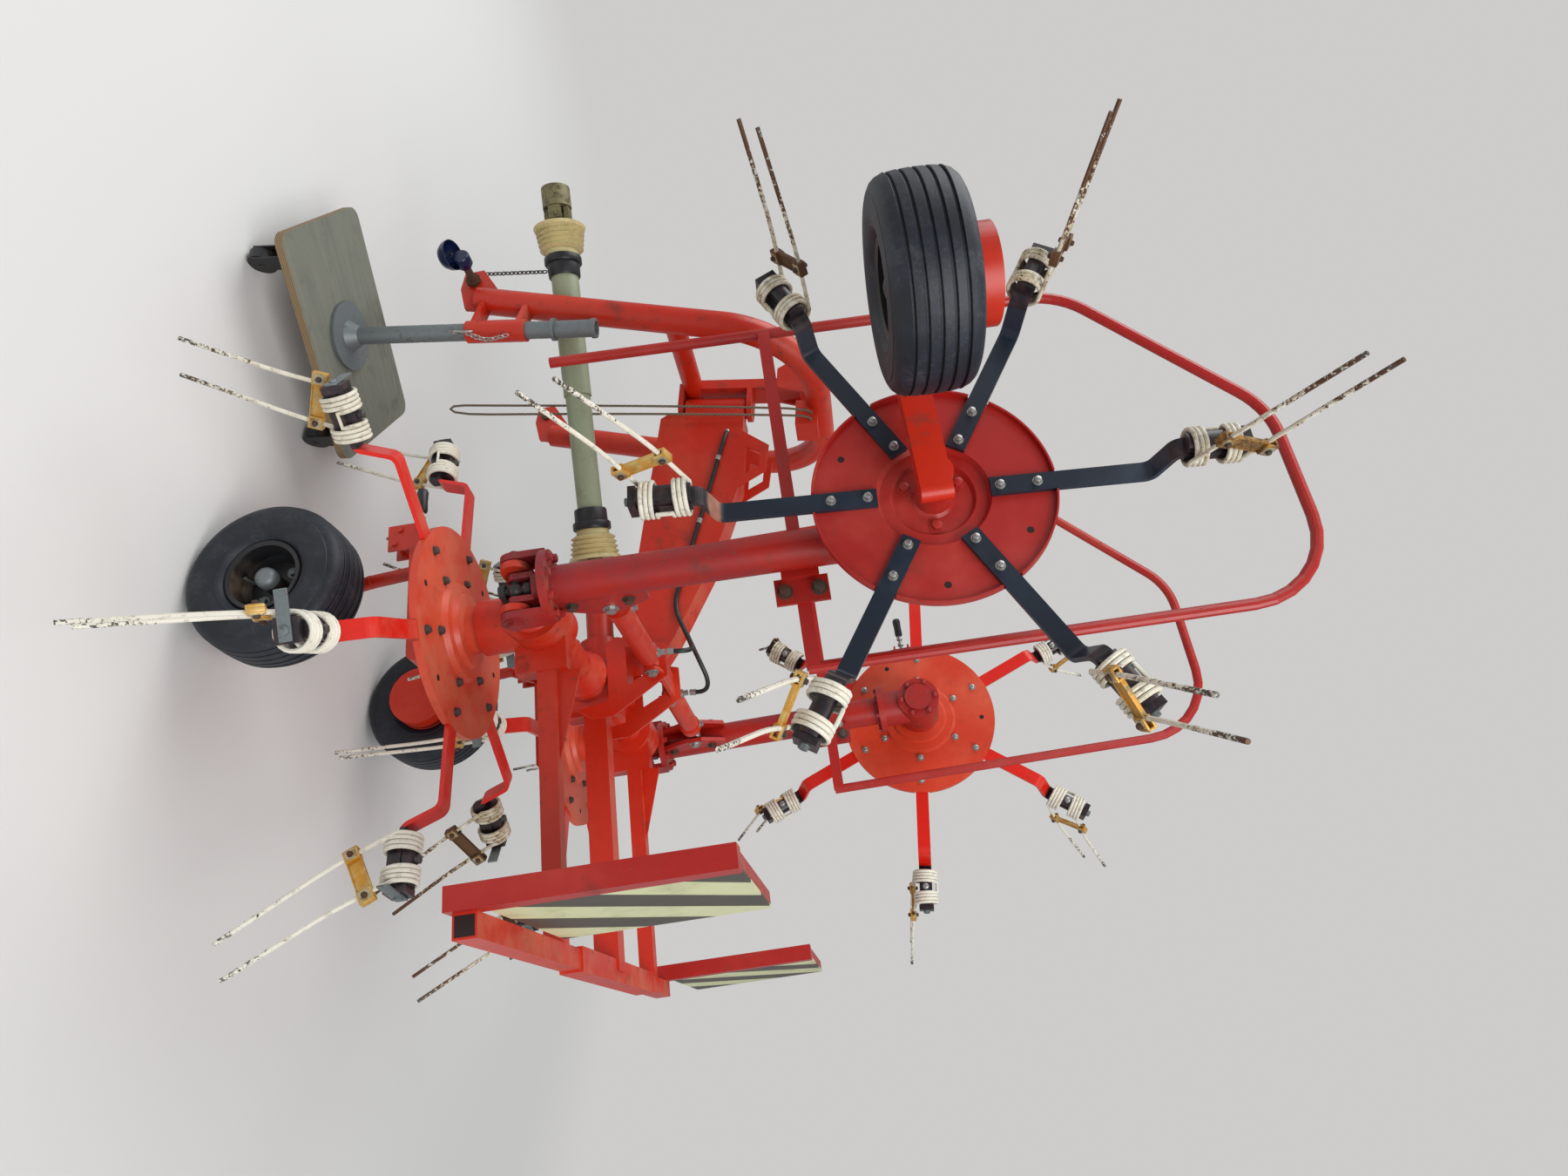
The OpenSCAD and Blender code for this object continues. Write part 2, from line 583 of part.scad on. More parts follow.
// Main beam from the middle gearbox up to the king pin
beam_w = 100;
king_z = [1050, 1235];
king_tube_d = 64;
module main_beam() {
    low = axle_height + 78;
    high = king_z[1] + 1;
    outline = [for (p = [[72, low], [360, low + 22], [king_y - 66, king_z[0] - 66], [king_y - 47, king_z[0] - 40],
        [king_y - 47, high], [620, high + 4], [350, (low + 120 + high) / 2 + 28], [130, low + 150], [72, low + 120]])
        let (m = to_machine([0, p.x, p.y])) [m.y, m.z]];
    color(red) {
        machine() {
            side_plate(outline, beam_w);
            foot = gearbox_top + 8;
            translate([-beam_w / 2, -55, foot]) cube([beam_w, 112, 30]);
            translate([-beam_w / 2, 30, foot + 22]) cube([beam_w, 70, 60]);
        }
        on_floor() difference() {
            union() {
                translate([0, king_y, king_z[0]]) cylinder(h = king_z[1] - king_z[0], d = king_tube_d);
                translate([-30, king_y - 60, king_z[0] + 3]) cube([60, 60, king_z[1] - king_z[0] - 6]);
            }
            translate([0, king_y, king_z[0] - 1]) cylinder(h = king_z[1] - king_z[0] + 2, d = king_d + 2 * seat_gap);
        }
        on_floor() for (s = [-1, 1]) difference() {
            side_plate([[590, high - 11], [650, high + 76], [738, high + 82], [790, high - 1]], 6, s * 46);
            side_plate([[640, high + 14], [668, high + 56], [716, high + 58], [732, high + 14]], 8, s * 46);
        }
    }
}

// Rear frame: three arms with gussets, and the bar across their ends
arm_xs = [-430, 0, 430];
module rear_frame() {
    half = rear_tube / 2;
    color(red) machine() {
        for (x = arm_xs) {
            start = x == 0 ? -center_d / 2 - 8 : -rear_start;
            w = x == 0 ? rear_tube + 18 : rear_tube;
            translate([x - w / 2, -rear_y, 10 - w / 2]) cube([w, rear_y + start, w]);
            if (x != 0) translate([x, 0, 10]) for (z = [-half, half - 6])
                translate([0, 0, z]) linear_extrude(6)
                    polygon([[-half, start], [half, start], [half, start - 190], [-half, start - 190]]);
            if (x != 0) translate([x - 3, 0, 10]) rotate([90, 0, 90]) linear_extrude(6)
                polygon([[start, -half], [start, 76], [start - 210, half]]);
        }
        translate([-920, -rear_y - half, 10 - half]) cube([1530, rear_tube, rear_tube]);
        translate([-330, -rear_y - half - 5, 10 - half - 5]) cube([700, rear_tube + 10, rear_tube + 10]);
    }
}
post_x = [-920, 590];
module panel_post(i) {
    half = rear_tube / 2;
    color(deep_red) machine() {
        difference() {
            translate([post_x[i] - half, -rear_y + half, 10 - half - 8]) cube([rear_tube, rear_tube, post_h]);
            translate([post_x[i] - half + 4, -rear_y + half + 4, 10 - half - 10]) cube([rear_tube - 8, rear_tube - 8, post_h - 4]);
        }
        top = 10 - half - 8 + post_h;
        translate([post_x[i] + half, -rear_y + half + 8, top - 30]) cube([panel_w, 26, 30]);
    }
}
module panel(i) {
    half = rear_tube / 2;
    top = 10 - half - 8 + post_h;
    color(cream) machine() translate([post_x[i] + half + 1, -rear_y + half + 2, top - 30 - panel_w + 30])
        cube([panel_w, panel_t + 2, panel_w]);
}

// Headstock: the arch leans back, and its plane holds the two legs
arch_foot = [1055, 490];
arch_top = [895, 1460];
arch_lean = atan((arch_foot.x - arch_top.x) / (arch_top.y - arch_foot.y));
arch_rise = norm(arch_foot - arch_top);
cross_y = 966;
cross_z = 1070;
cross_d = 60;
top_hole = [1035, 1418];
hitch_at = [1128, 462];
module arch_plane() on_floor() translate([0, arch_foot.x, arch_foot.y]) rotate([90 + arch_lean, 0, 0]) children();
module headstock() {
    color(red) {
        arch_plane() bent_tube([[-leg_x, 0], [-leg_x, arch_rise], [leg_x, arch_rise], [leg_x, 0]], arch_d, arch_bend);
        on_floor() {
            bar([-leg_x, cross_y, cross_z], [leg_x, cross_y, cross_z], cross_d);
            bar([0, king_y, king_z[0] - 22], [0, king_y, king_z[1] + 22], king_d);
            for (z = [king_z[0] - 20, king_z[1] + 5]) translate([0, king_y, z]) {
                cylinder(h = 15, d = 84);
                translate([-42, 0, 0]) cube([84, cross_y - king_y + 5, 15]);
            }
            translate([-42, cross_y - 16, cross_z]) cube([84, 32, 330]);
            for (s = [-1, 1]) difference() {
                side_plate([[866, 1452], [880, 1488], [930, 1488], [1062, 1440], [1062, 1396], [1018, 1330], [952, 1330],
                    [930, 1412]], 10, s * 38);
                translate([s * 38, top_hole.x, top_hole.y]) rotate([0, 90, 0])
                    cylinder(h = 20, d = top_hole_d, center = true);
            }
            translate([-46, 812, 1392]) cube([92, 84, 66]);
            for (s = [-1, 1]) {
                difference() {
                    side_plate([[1016, 560], [1096, 540], [1170, 486], [1160, 430], [1100, 426], [1030, 450]],
                        14, s * (leg_x - 8));
                    translate([s * (leg_x - 8), hitch_at.x, hitch_at.y]) rotate([0, 90, 0])
                        cylinder(h = 30, d = hitch_pin_d + 0.2, center = true);
                }
            }
            stand_sleeve();
            shaft_hook();
        }
    }
}

// Lower hitch pins, held in the lugs
module hitch_pin(side) {
    x = leg_x - 15;
    color(steel) on_floor() on_side(side) translate([0, hitch_at.x, hitch_at.y]) {
        bar([x, 0, 0], [x + 112, 0, 0], hitch_pin_d);
        bar([x + 14, 0, 0], [x + 26, 0, 0], 42);
        bar([x - 8, 0, 0], [x, 0, 0], 34);
    }
}

// Stand leg in its sleeve
stand_at = [-392, 906];
stand_wall = 4;
foot_t = 10;
module stand_sleeve() {
    outer = stand_d + 14;
    translate([stand_at.x, stand_at.y, 0]) difference() {
        union() {
            translate([0, 0, 500]) cylinder(h = 170, d = outer);
            for (z = [510, 640]) hull() {
                translate([0, 0, z]) cylinder(h = 14, d = outer - 12, $fn = 32);
                translate([-leg_x - stand_at.x, 150 - (z - 490) * 0.165, z]) cylinder(h = 14, d = arch_d - 30, $fn = 32);
            }
        }
        translate([0, 0, 480]) cylinder(h = 220, d = stand_d + 2 * seat_gap);
    }
}
module stand_leg() {
    color(steel) on_floor() translate([stand_at.x, stand_at.y, 0]) {
        difference() {
            translate([0, 0, board_top + seat_gap + foot_t]) cylinder(h = stand_top - board_top - foot_t - seat_gap, d = stand_d);
            translate([0, 0, board_top + foot_t + 10]) cylinder(h = stand_top, d = stand_d - 2 * stand_wall);
            for (z = [360, 440, 700]) translate([0, 0, z]) rotate([90, 0, 35]) cylinder(h = 80, d = 13, center = true);
        }
        translate([0, 0, stand_top - 1]) cylinder(h = 10, d = stand_d + 14);
        translate([0, 0, board_top + seat_gap]) cylinder(h = foot_t, d = foot_d);
        translate([0, 0, board_top + seat_gap + foot_t - 1]) cylinder(h = 30, d1 = stand_d + 40, d2 = stand_d + 4, $fn = 48);
    }
}

// Dolly under the stand leg
board_at = [-385, 925];
board_turn = -35;
caster_d = 72;
module board_frame() on_floor() translate([board_at.x, board_at.y, 0]) rotate([0, 0, board_turn]) children();
module dolly_board() {
    round_r = 36;
    color("#6f766c") board_frame() translate([0, 0, board_top - board_t]) linear_extrude(board_t) union() {
        square([board_l - 2 * round_r, board_w], center = true);
        square([board_l, board_w - 2 * round_r], center = true);
        for (x = [-1, 1], y = [-1, 1]) translate([x * (board_l / 2 - round_r), y * (board_w / 2 - round_r)])
            circle(r = round_r);
    }
}
module dolly_casters() {
    plate_z = board_top - board_t;
    color(dark) board_frame() for (x = [-1, 1], y = [-1, 1])
        translate([x * (board_l / 2 - 62), y * (board_w / 2 - 62), 0]) rotate([0, 0, 40]) {
            translate([-38, -38, plate_z - 4]) cube([76, 76, 4]);
            translate([0, 0, plate_z - 22]) cylinder(h = 19, d = 44);
            for (s = [-1, 1]) translate([-16, s * 18 - 2, caster_d / 2 - 12]) cube([50, 4, plate_z - caster_d / 2 - 2]);
            translate([18, 0, caster_d / 2]) rotate([90, 0, 0]) cylinder(h = 28, d = caster_d, center = true);
            translate([18, 0, caster_d / 2]) rotate([90, 0, 0]) cylinder(h = 44, d = 14, center = true);
        }
}

// Drive shaft, from the input housing to the free yoke beside the headstock
shaft_joint = 42;
joint_ball = 56;
shaft_start = to_floor([0, input_end + shaft_joint, input_z]);
shaft_end = [-372, 1305, 702];
shaft_dir = (shaft_end - shaft_start) / norm(shaft_end - shaft_start);
shaft_run = norm(shaft_end - shaft_start);
tube_start = 118;
tube_end = shaft_run - 96;
inner_d = 44;
module shaft_frame() on_floor() translate(shaft_start)
    rotate([0, acos(shaft_dir.z), atan2(shaft_dir.y, shaft_dir.x)]) children();
module shaft_guard() {
    half = shaft_run / 2;
    color("#9aa488") shaft_frame() {
        translate([0, 0, tube_start]) cylinder(h = half + 36 - tube_start, d = guard_d - 8);
        translate([0, 0, half]) cylinder(h = tube_end - half, d = guard_d);
    }
}
// Ribbed cone with a collar at its narrow end, open at its wide end
cone_ribs = 5;
module cone_shell() {
    rib = 14;
    open = 18 + cone_ribs * rib;
    bore = inner_d / 2 + 1;
    rotate_extrude($fn = 72) polygon(concat(
        [[bore, 0], [guard_d / 2 + 6, 0], [guard_d / 2 + 8, 14]],
        [for (i = [0 : cone_ribs - 1], k = [0, 1])
            [cone_d / 2 - (k == 0 ? 12 : 2) - (cone_ribs - i) * 2, 16 + i * rib + k * rib / 2]],
        [[cone_d / 2, open], [cone_d / 2 - 3, open], [cone_d / 2 - 19, open - 18], [cone_d / 2 - 30, 22],
            [guard_d / 2 - 2, 18], [bore, 14]]));
}
module shaft_cones() {
    color(cream) shaft_frame() {
        translate([0, 0, tube_start]) mirror([0, 0, 1]) cone_shell();
        translate([0, 0, tube_end]) cone_shell();
    }
}
// Shaft ends with their joints: a ball at the machine, and two yokes on a cross at the free end
yoke_gap = 30;
module yoke_arms(turn, low, high) {
    rotate([0, 0, turn]) for (s = [-1, 1]) translate([s * yoke_gap - 7, -18, low]) cube([14, 36, high - low]);
}
module shaft_yokes() {
    cross_at = shaft_run + 32;
    color(steel) shaft_frame() {
        sphere(d = joint_ball);
        cylinder(h = tube_start, d = inner_d);
        translate([0, 0, tube_end]) cylinder(h = shaft_run - tube_end, d = inner_d);
        translate([0, 0, shaft_run - 14]) cylinder(h = 16, d = 84);
        yoke_arms(0, shaft_run - 8, cross_at + 18);
        translate([0, 0, cross_at]) rotate([0, 90, 0]) cylinder(h = 78, d = 22, center = true);
        translate([0, 0, cross_at]) rotate([90, 0, 0]) cylinder(h = 78, d = 22, center = true);
        yoke_arms(90, cross_at - 18, cross_at + 32);
        translate([0, 0, cross_at + 22]) difference() {
            cylinder(h = 62, d = 84);
            translate([0, 0, 14]) cylinder(h = 60, d = shaft_bore_d);
        }
    }
}

// Hook on the left leg that carries the drive shaft when it is parked
hook_y = 1008;
module shaft_hook() {
    k = (hook_y - shaft_start.y) / (shaft_end.y - shaft_start.y);
    p = shaft_start + k * (shaft_end - shaft_start);
    hook_d = 12;
    under = p - [0, 0, guard_d / 2 + 10 + hook_d / 2];
    bar([-leg_x, under.y, under.z], [p.x + 30, under.y, under.z], hook_d);
}

// Fold cylinders
barrel_l = 348;
lug_point = boom_point([lug_along, 0, lug_h]);
cyl_turn = atan2(lug_point.z - cylinder_h, lug_point.x - cylinder_x);
cyl_len = norm([lug_point.x - cylinder_x, lug_point.z - cylinder_h]);
module cylinder_frame(side) machine() on_side(side)
    translate([cylinder_x, 0, cylinder_h]) rotate([0, -cyl_turn, 0]) children();
module cylinder_barrel(side) {
    color(red) cylinder_frame(side) difference() {
        union() {
            rotate([90, 0, 0]) cylinder(h = 42, d = 40, center = true);
            rotate([0, 90, 0]) cylinder(h = 34, d = 36);
            translate([26, 0, 0]) rotate([0, 90, 0]) cylinder(h = barrel_l - 26, d = barrel_d);
            translate([barrel_l - 34, 0, 0]) rotate([0, 90, 0]) cylinder(h = 34, d = barrel_d + 8);
        }
        rotate([90, 0, 0]) cylinder(h = 60, d = 20.6, center = true);
        translate([36, 0, 0]) rotate([0, 90, 0]) cylinder(h = barrel_l, d = rod_d + 2 * seat_gap);
    }
}
eye_d = 40;
module cylinder_rod(side) {
    color(steel) cylinder_frame(side) difference() {
        union() {
            translate([46, 0, 0]) rotate([0, 90, 0]) cylinder(h = cyl_len - 56, d = rod_d);
            translate([cyl_len, 0, 0]) rotate([90, 0, 0]) cylinder(h = 34, d = eye_d, center = true);
        }
        translate([cyl_len, 0, 0]) rotate([90, 0, 0]) cylinder(h = 60, d = 20, center = true);
    }
}

// Pull rope: hangs double from the headstock's top, with a loop at its lower end
rope_d = 7;
rope_route = [[-46, 822, 1440], [-55, 822, 1440], [-64, 823, 1432], [-68, 825, 1412], [-69, 828, 1350], [-70, 832, 1240],
    [-72, 836, 1100], [-74, 840, 940], [-76, 843, 780], [-78, 846, 600], [-79, 848, 460], [-81, 850, 390],
    [-84, 856, 345], [-86, 866, 330], [-85, 877, 338], [-83, 881, 370], [-81, 880, 440], [-80, 877, 560],
    [-78, 873, 740], [-76, 868, 920], [-74, 862, 1100], [-72, 856, 1260], [-70, 851, 1370], [-67, 847, 1418],
    [-63, 846, 1433], [-55, 846, 1440], [-46, 846, 1440]];
module pull_rope() color("#a59a86") on_floor() swept_tube(rope_route, rope_d, 8, [1, -1, 0]);

rotor_disc(inner_left, red);  // disc_inner_left
rotor_disc(inner_right, red);  // disc_inner_right
rotor_disc(outer_left, deep_red);  // disc_outer_left
rotor_disc(outer_right, red);  // disc_outer_right
rotor_arms(inner_left, red);  // arms_inner_left
rotor_arms(inner_right, red);  // arms_inner_right
rotor_arms(outer_left, dark);  // arms_outer_left
rotor_arms(outer_right, red);  // arms_outer_right
rotor_tines(inner_left, cream);  // tines_inner_left
rotor_tines(inner_right, cream);  // tines_inner_right
rotor_tines(outer_left, cream);  // tines_outer_left
rotor_tines(outer_right, cream);  // tines_outer_right
tyre(inner_left);  // tyre_inner_left
tyre(inner_right);  // tyre_inner_right
tyre(outer_left);  // tyre_outer_left
tyre(outer_right);  // tyre_outer_right
rim(inner_left, dark);  // rim_inner_left
rim(inner_right, deep_red);  // rim_inner_right
rim(outer_left, dark);  // rim_outer_left
rim(outer_right, dark);  // rim_outer_right
wheel_leg(inner_left);  // wheel_leg_inner_left
wheel_leg(inner_right);  // wheel_leg_inner_right
wheel_leg(outer_left);  // wheel_leg_outer_left
wheel_leg(outer_right);  // wheel_leg_outer_right
boom(-1);  // boom_left
boom(1);  // boom_right
guard_hoop(-1);  // guard_hoop_left
guard_hoop(1);  // guard_hoop_right
main_beam();
center_gearbox();
axle(-1);  // axle_left
axle(1);  // axle_right
cylinder_bracket();
drive_joint(-1);  // drive_joint_left
drive_joint(1);  // drive_joint_right
rear_frame();
panel_post(0);  // panel_post_left
panel_post(1);  // panel_post_right
panel(0);  // panel_left
panel(1);  // panel_right
headstock();
hitch_pin(-1);  // hitch_pin_left
hitch_pin(1);  // hitch_pin_right
stand_leg();
dolly_board();
dolly_casters();
shaft_guard();
shaft_cones();
shaft_yokes();
cylinder_barrel(-1);  // cylinder_barrel_left
cylinder_barrel(1);  // cylinder_barrel_right
cylinder_rod(-1);  // cylinder_rod_left
cylinder_rod(1);  // cylinder_rod_right
pull_rope();
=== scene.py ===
"""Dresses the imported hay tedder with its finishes, wound tines, ribbed tyres and small hardware."""
import logging
import math
from dataclasses import dataclass
from enum import Enum
from typing import Iterable, Sequence

import bmesh
import bpy
from mathutils import Matrix, Vector


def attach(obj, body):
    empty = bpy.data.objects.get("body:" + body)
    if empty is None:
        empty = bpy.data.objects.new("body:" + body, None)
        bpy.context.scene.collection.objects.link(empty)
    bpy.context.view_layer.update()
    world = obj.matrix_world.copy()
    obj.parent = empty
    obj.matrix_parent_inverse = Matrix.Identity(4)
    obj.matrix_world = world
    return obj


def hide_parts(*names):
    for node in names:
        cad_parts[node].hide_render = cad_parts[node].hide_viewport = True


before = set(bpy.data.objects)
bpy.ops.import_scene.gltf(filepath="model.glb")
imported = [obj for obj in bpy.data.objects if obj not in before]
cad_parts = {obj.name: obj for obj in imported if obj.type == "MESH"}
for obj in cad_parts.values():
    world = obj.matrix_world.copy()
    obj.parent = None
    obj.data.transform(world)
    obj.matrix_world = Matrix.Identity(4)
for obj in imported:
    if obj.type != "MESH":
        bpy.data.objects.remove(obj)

log = logging.getLogger("tedder")
Colour = tuple[float, float, float, float]
Point = Sequence[float]
Shape = bmesh.types.BMesh
Verts = list[bmesh.types.BMVert]


def srgb(red: float, green: float, blue: float) -> Colour:
    """Turns a screen colour of 0 to 255 into the linear colour that shaders take.

    Args:
        red, green, blue: Screen values from 0 to 255.

    Returns:
        The linear colour with full alpha.
    """
    def channel(value: float) -> float:
        """Turns one channel linear."""
        part = value / 255
        return part / 12.92 if part <= 0.04045 else ((part + 0.055) / 1.055) ** 2.4

    return (channel(red), channel(green), channel(blue), 1.0)


def darker(colour: Colour, share: float) -> Colour:
    """A colour with its channels cut to a share."""
    return tuple(c * share for c in colour[:3]) + (1.0,)


def move(x: float, y: float, z: float) -> Matrix:
    """The matrix of a move, in metres."""
    return Matrix.Translation((x, y, z))


def spin(axis: str, degrees: float) -> Matrix:
    """The matrix of a turn about the X, Y or Z axis."""
    return Matrix.Rotation(math.radians(degrees), 4, axis)


def side_name(side: int) -> str:
    """The word that names of bodies and pieces have for a side: left for -1, right for 1."""
    return "left" if side < 0 else "right"


class Rotor(Enum):
    """The four rotors, by the name that their solids end in."""
    INNER_LEFT = "inner_left"
    INNER_RIGHT = "inner_right"
    OUTER_LEFT = "outer_left"
    OUTER_RIGHT = "outer_right"

    @property
    def side(self) -> int:
        """-1 on the machine's left, 1 on its right."""
        return -1 if "left" in self.value else 1

    @property
    def outer(self) -> bool:
        """True for a rotor on a folding boom."""
        return "outer" in self.value

    @property
    def carrier(self) -> str:
        """The body that the rotor and its wheel leg are mounted on."""
        return f"boom_{side_name(self.side)}" if self.outer else "frame"


@dataclass(frozen=True)
class Stance:
    """Where the machine's own frames stand, in metres."""
    tilt: float = math.radians(9.8)
    fold: float = math.radians(92)
    axle_height: float = 0.862
    center_y: float = 0.3052
    inner_x: float = 0.460
    inner_drop: float = 0.185
    hinge_x: float = 0.621
    boom_reach: float = 0.911
    outer_drop: float = 0.155
    inner_across: float = 0.006
    inner_lead: float = 0.199
    outer_wheel: Point = (-0.010, 0.205, -0.394)
    tyre_r: float = 0.195

    @property
    def machine(self) -> Matrix:
        """The frame of the cross axle."""
        return move(0, -self.center_y, self.axle_height) @ Matrix.Rotation(-self.tilt, 4, "X")

    def sided(self, side: int) -> Matrix:
        """The axle's frame with +X pointing outward on the given side."""
        return self.machine @ Matrix.Diagonal((side, 1, 1, 1))

    def boom(self, side: int) -> Matrix:
        """The frame of a boom: X along it from the hinge, Z away from its rotor."""
        return self.sided(side) @ move(self.hinge_x, 0, 0) @ Matrix.Rotation(-self.fold, 4, "Y")

    def rotor(self, rotor: Rotor) -> Matrix:
        """The frame of a rotor, with its disc at zero height."""
        if rotor.outer:
            return self.boom(rotor.side) @ move(self.boom_reach, 0, -self.outer_drop)
        return self.sided(rotor.side) @ move(self.inner_x, 0, -self.inner_drop)

    def spinning(self, rotor: Rotor) -> Matrix:
        """The rotor's frame without the mirroring of the left side, for textures."""
        return self.rotor(rotor) @ Matrix.Diagonal((rotor.side, 1, 1, 1))

    def wheel(self, rotor: Rotor) -> Matrix:
        """The frame of a rotor's wheel, with Z along its axle."""
        drop = (self.axle_height - self.tyre_r - self.inner_lead * math.sin(self.tilt)) / math.cos(self.tilt)
        inner = (self.inner_across, self.inner_lead, self.inner_drop - drop)
        return self.rotor(rotor) @ move(*(self.outer_wheel if rotor.outer else inner)) @ spin("Y", 90)

    def floor(self, point: Point) -> Vector:
        """Takes a floor point in millimetres to the shared frame in metres."""
        return Vector((point[0] / 1000, point[1] / 1000 - self.center_y, point[2] / 1000))


STANCE = Stance()


# Shader maths
class Signal:
    """A socket's value in a material; Python's operators join signals through Math nodes."""

    def __init__(self, graph: "Graph", socket: bpy.types.NodeSocket) -> None:
        """Wraps a socket of the graph's material."""
        self.graph = graph
        self.socket = socket

    def _math(self, operation: str, first: "Signal | float", second: "Signal | float") -> "Signal":
        """Adds a Math node over two values and returns its result."""
        return self.graph.signal("ShaderNodeMath", {"operation": operation}, {0: first, 1: second})

    def __add__(self, other: "Signal | float") -> "Signal":
        """Sum."""
        return self._math("ADD", self, other)

    __radd__ = __add__

    def __sub__(self, other: "Signal | float") -> "Signal":
        """Difference."""
        return self._math("SUBTRACT", self, other)

    def __rsub__(self, other: "Signal | float") -> "Signal":
        """Difference from a number."""
        return self._math("SUBTRACT", other, self)

    def __mul__(self, other: "Signal | float") -> "Signal":
        """Product."""
        return self._math("MULTIPLY", self, other)

    __rmul__ = __mul__

    def __truediv__(self, other: "Signal | float") -> "Signal":
        """Quotient."""
        return self._math("DIVIDE", self, other)

    def __mod__(self, other: "Signal | float") -> "Signal":
        """Remainder that stays positive."""
        return self._math("FLOORED_MODULO", self, other)

    def step(self, low: float, high: float) -> "Signal":
        """Rises smoothly from 0 to 1 between two values, or falls where the first is the larger.

        Args:
            low: Value at which the result is 0.
            high: Value at which the result is 1.

        Returns:
            The step.
        """
        settings = {"interpolation_type": "SMOOTHSTEP", "clamp": True}
        ends = {1: low, 2: high, 3: 0.0, 4: 1.0} if low <= high else {1: high, 2: low, 3: 1.0, 4: 0.0}
        return self.graph.signal("ShaderNodeMapRange", settings, {0: self, **ends})


class Graph:
    """One material under construction."""

    def __init__(self, name: str) -> None:
        """Starts a material with one Principled shader."""
        self.material = bpy.data.materials.new(name)
        self.material.use_nodes = True
        self.tree = self.material.node_tree
        self.shader = self.tree.nodes["Principled BSDF"]
        self._coordinates: Signal | None = None

    def node(self, kind: str, settings: dict, values: dict) -> bpy.types.Node:
        """Adds a node.

        Args:
            kind: The node's type.
            settings: Its properties, set first.
            values: Values or signals for its sockets, by name or number.

        Returns:
            The new node.
        """
        made = self.tree.nodes.new(kind)
        for name, value in settings.items():
            setattr(made, name, value)
        for name, value in values.items():
            if isinstance(value, Signal):
                self.tree.links.new(value.socket, made.inputs[name])
            else:
                made.inputs[name].default_value = value
        return made

    def signal(self, kind: str, settings: dict, values: dict, output: int | str = 0) -> Signal:
        """Adds a node and returns one of its outputs."""
        return Signal(self, self.node(kind, settings, values).outputs[output])

    def split(self, vector: Signal) -> tuple[Signal, Signal, Signal]:
        """The three parts of a vector."""
        made = self.node("ShaderNodeSeparateXYZ", {}, {0: vector})
        return tuple(Signal(self, made.outputs[i]) for i in range(3))

    @property
    def place(self) -> Signal:
        """The point on the piece, in metres of the shared frame."""
        if self._coordinates is None:
            self._coordinates = self.signal("ShaderNodeTexCoord", {}, {}, "Object")
        return self._coordinates

    def axes(self, turn: Matrix | None = None) -> tuple[Signal, Signal, Signal]:
        """The point's coordinates.

        Args:
            turn: Frame to give them in; the shared frame where it is left out.

        Returns:
            The three coordinates.
        """
        source = self.place
        if turn is not None:
            back = turn.inverted()
            source = self.signal("ShaderNodeMapping", {}, {
                "Vector": source, "Location": back.to_translation(), "Rotation": back.to_euler()})
        return self.split(source)

    def noise(self, scale: float, detail: float, rough: float, shift: Point = (0, 0, 0)) -> Signal:
        """Soft noise from 0 to 1 over the piece.

        Args:
            scale: Grains per metre, about.
            detail: Layers of finer grains.
            rough: Strength of the finer grains.
            shift: Move of the pattern, so that two of one scale differ.

        Returns:
            The noise.
        """
        moved = self.signal("ShaderNodeMapping", {}, {"Vector": self.place, "Location": shift})
        return self.signal("ShaderNodeTexNoise", {}, {
            "Vector": moved, "Scale": scale, "Detail": detail, "Roughness": rough})

    def attribute(self, name: str) -> Signal:
        """A number stored on the piece's points."""
        settings = {"attribute_type": "GEOMETRY", "attribute_name": name}
        return self.signal("ShaderNodeAttribute", settings, {}, "Fac")

    def upward(self) -> Signal:
        """How far the surface faces up, from -1 to 1."""
        return self.split(self.signal("ShaderNodeNewGeometry", {}, {}, "Normal"))[2]

    def mix(self, factor: Signal | float, low: "Signal | Colour", high: "Signal | Colour") -> Signal:
        """Blends two colours."""
        return self.signal("ShaderNodeMix", {"data_type": "RGBA"}, {0: factor, 6: low, 7: high}, 2)

    def finish(self, colour: "Signal | Colour", rough: "Signal | float", metal: "Signal | float" = 0.0,
               height: Signal | None = None, depth: float = 0.0005, coat: float = 0.0) -> bpy.types.Material:
        """Joins the last signals to the shader.

        Args:
            colour: Base colour.
            rough: Roughness.
            metal: Metallic part.
            height: Surface height, for a bump.
            depth: Depth of that bump, in metres.
            coat: Weight of a clear coat.

        Returns:
            The finished material.
        """
        for name, value in (("Base Color", colour), ("Roughness", rough), ("Metallic", metal)):
            if isinstance(value, Signal):
                self.tree.links.new(value.socket, self.shader.inputs[name])
            else:
                self.shader.inputs[name].default_value = value
        self.shader.inputs["Coat Weight"].default_value = coat
        self.shader.inputs["Coat Roughness"].default_value = 0.25
        if height is not None:
            bump = self.node("ShaderNodeBump", {}, {"Height": height, "Distance": depth, "Strength": 0.8})
            self.tree.links.new(bump.outputs[0], self.shader.inputs["Normal"])
        return self.material


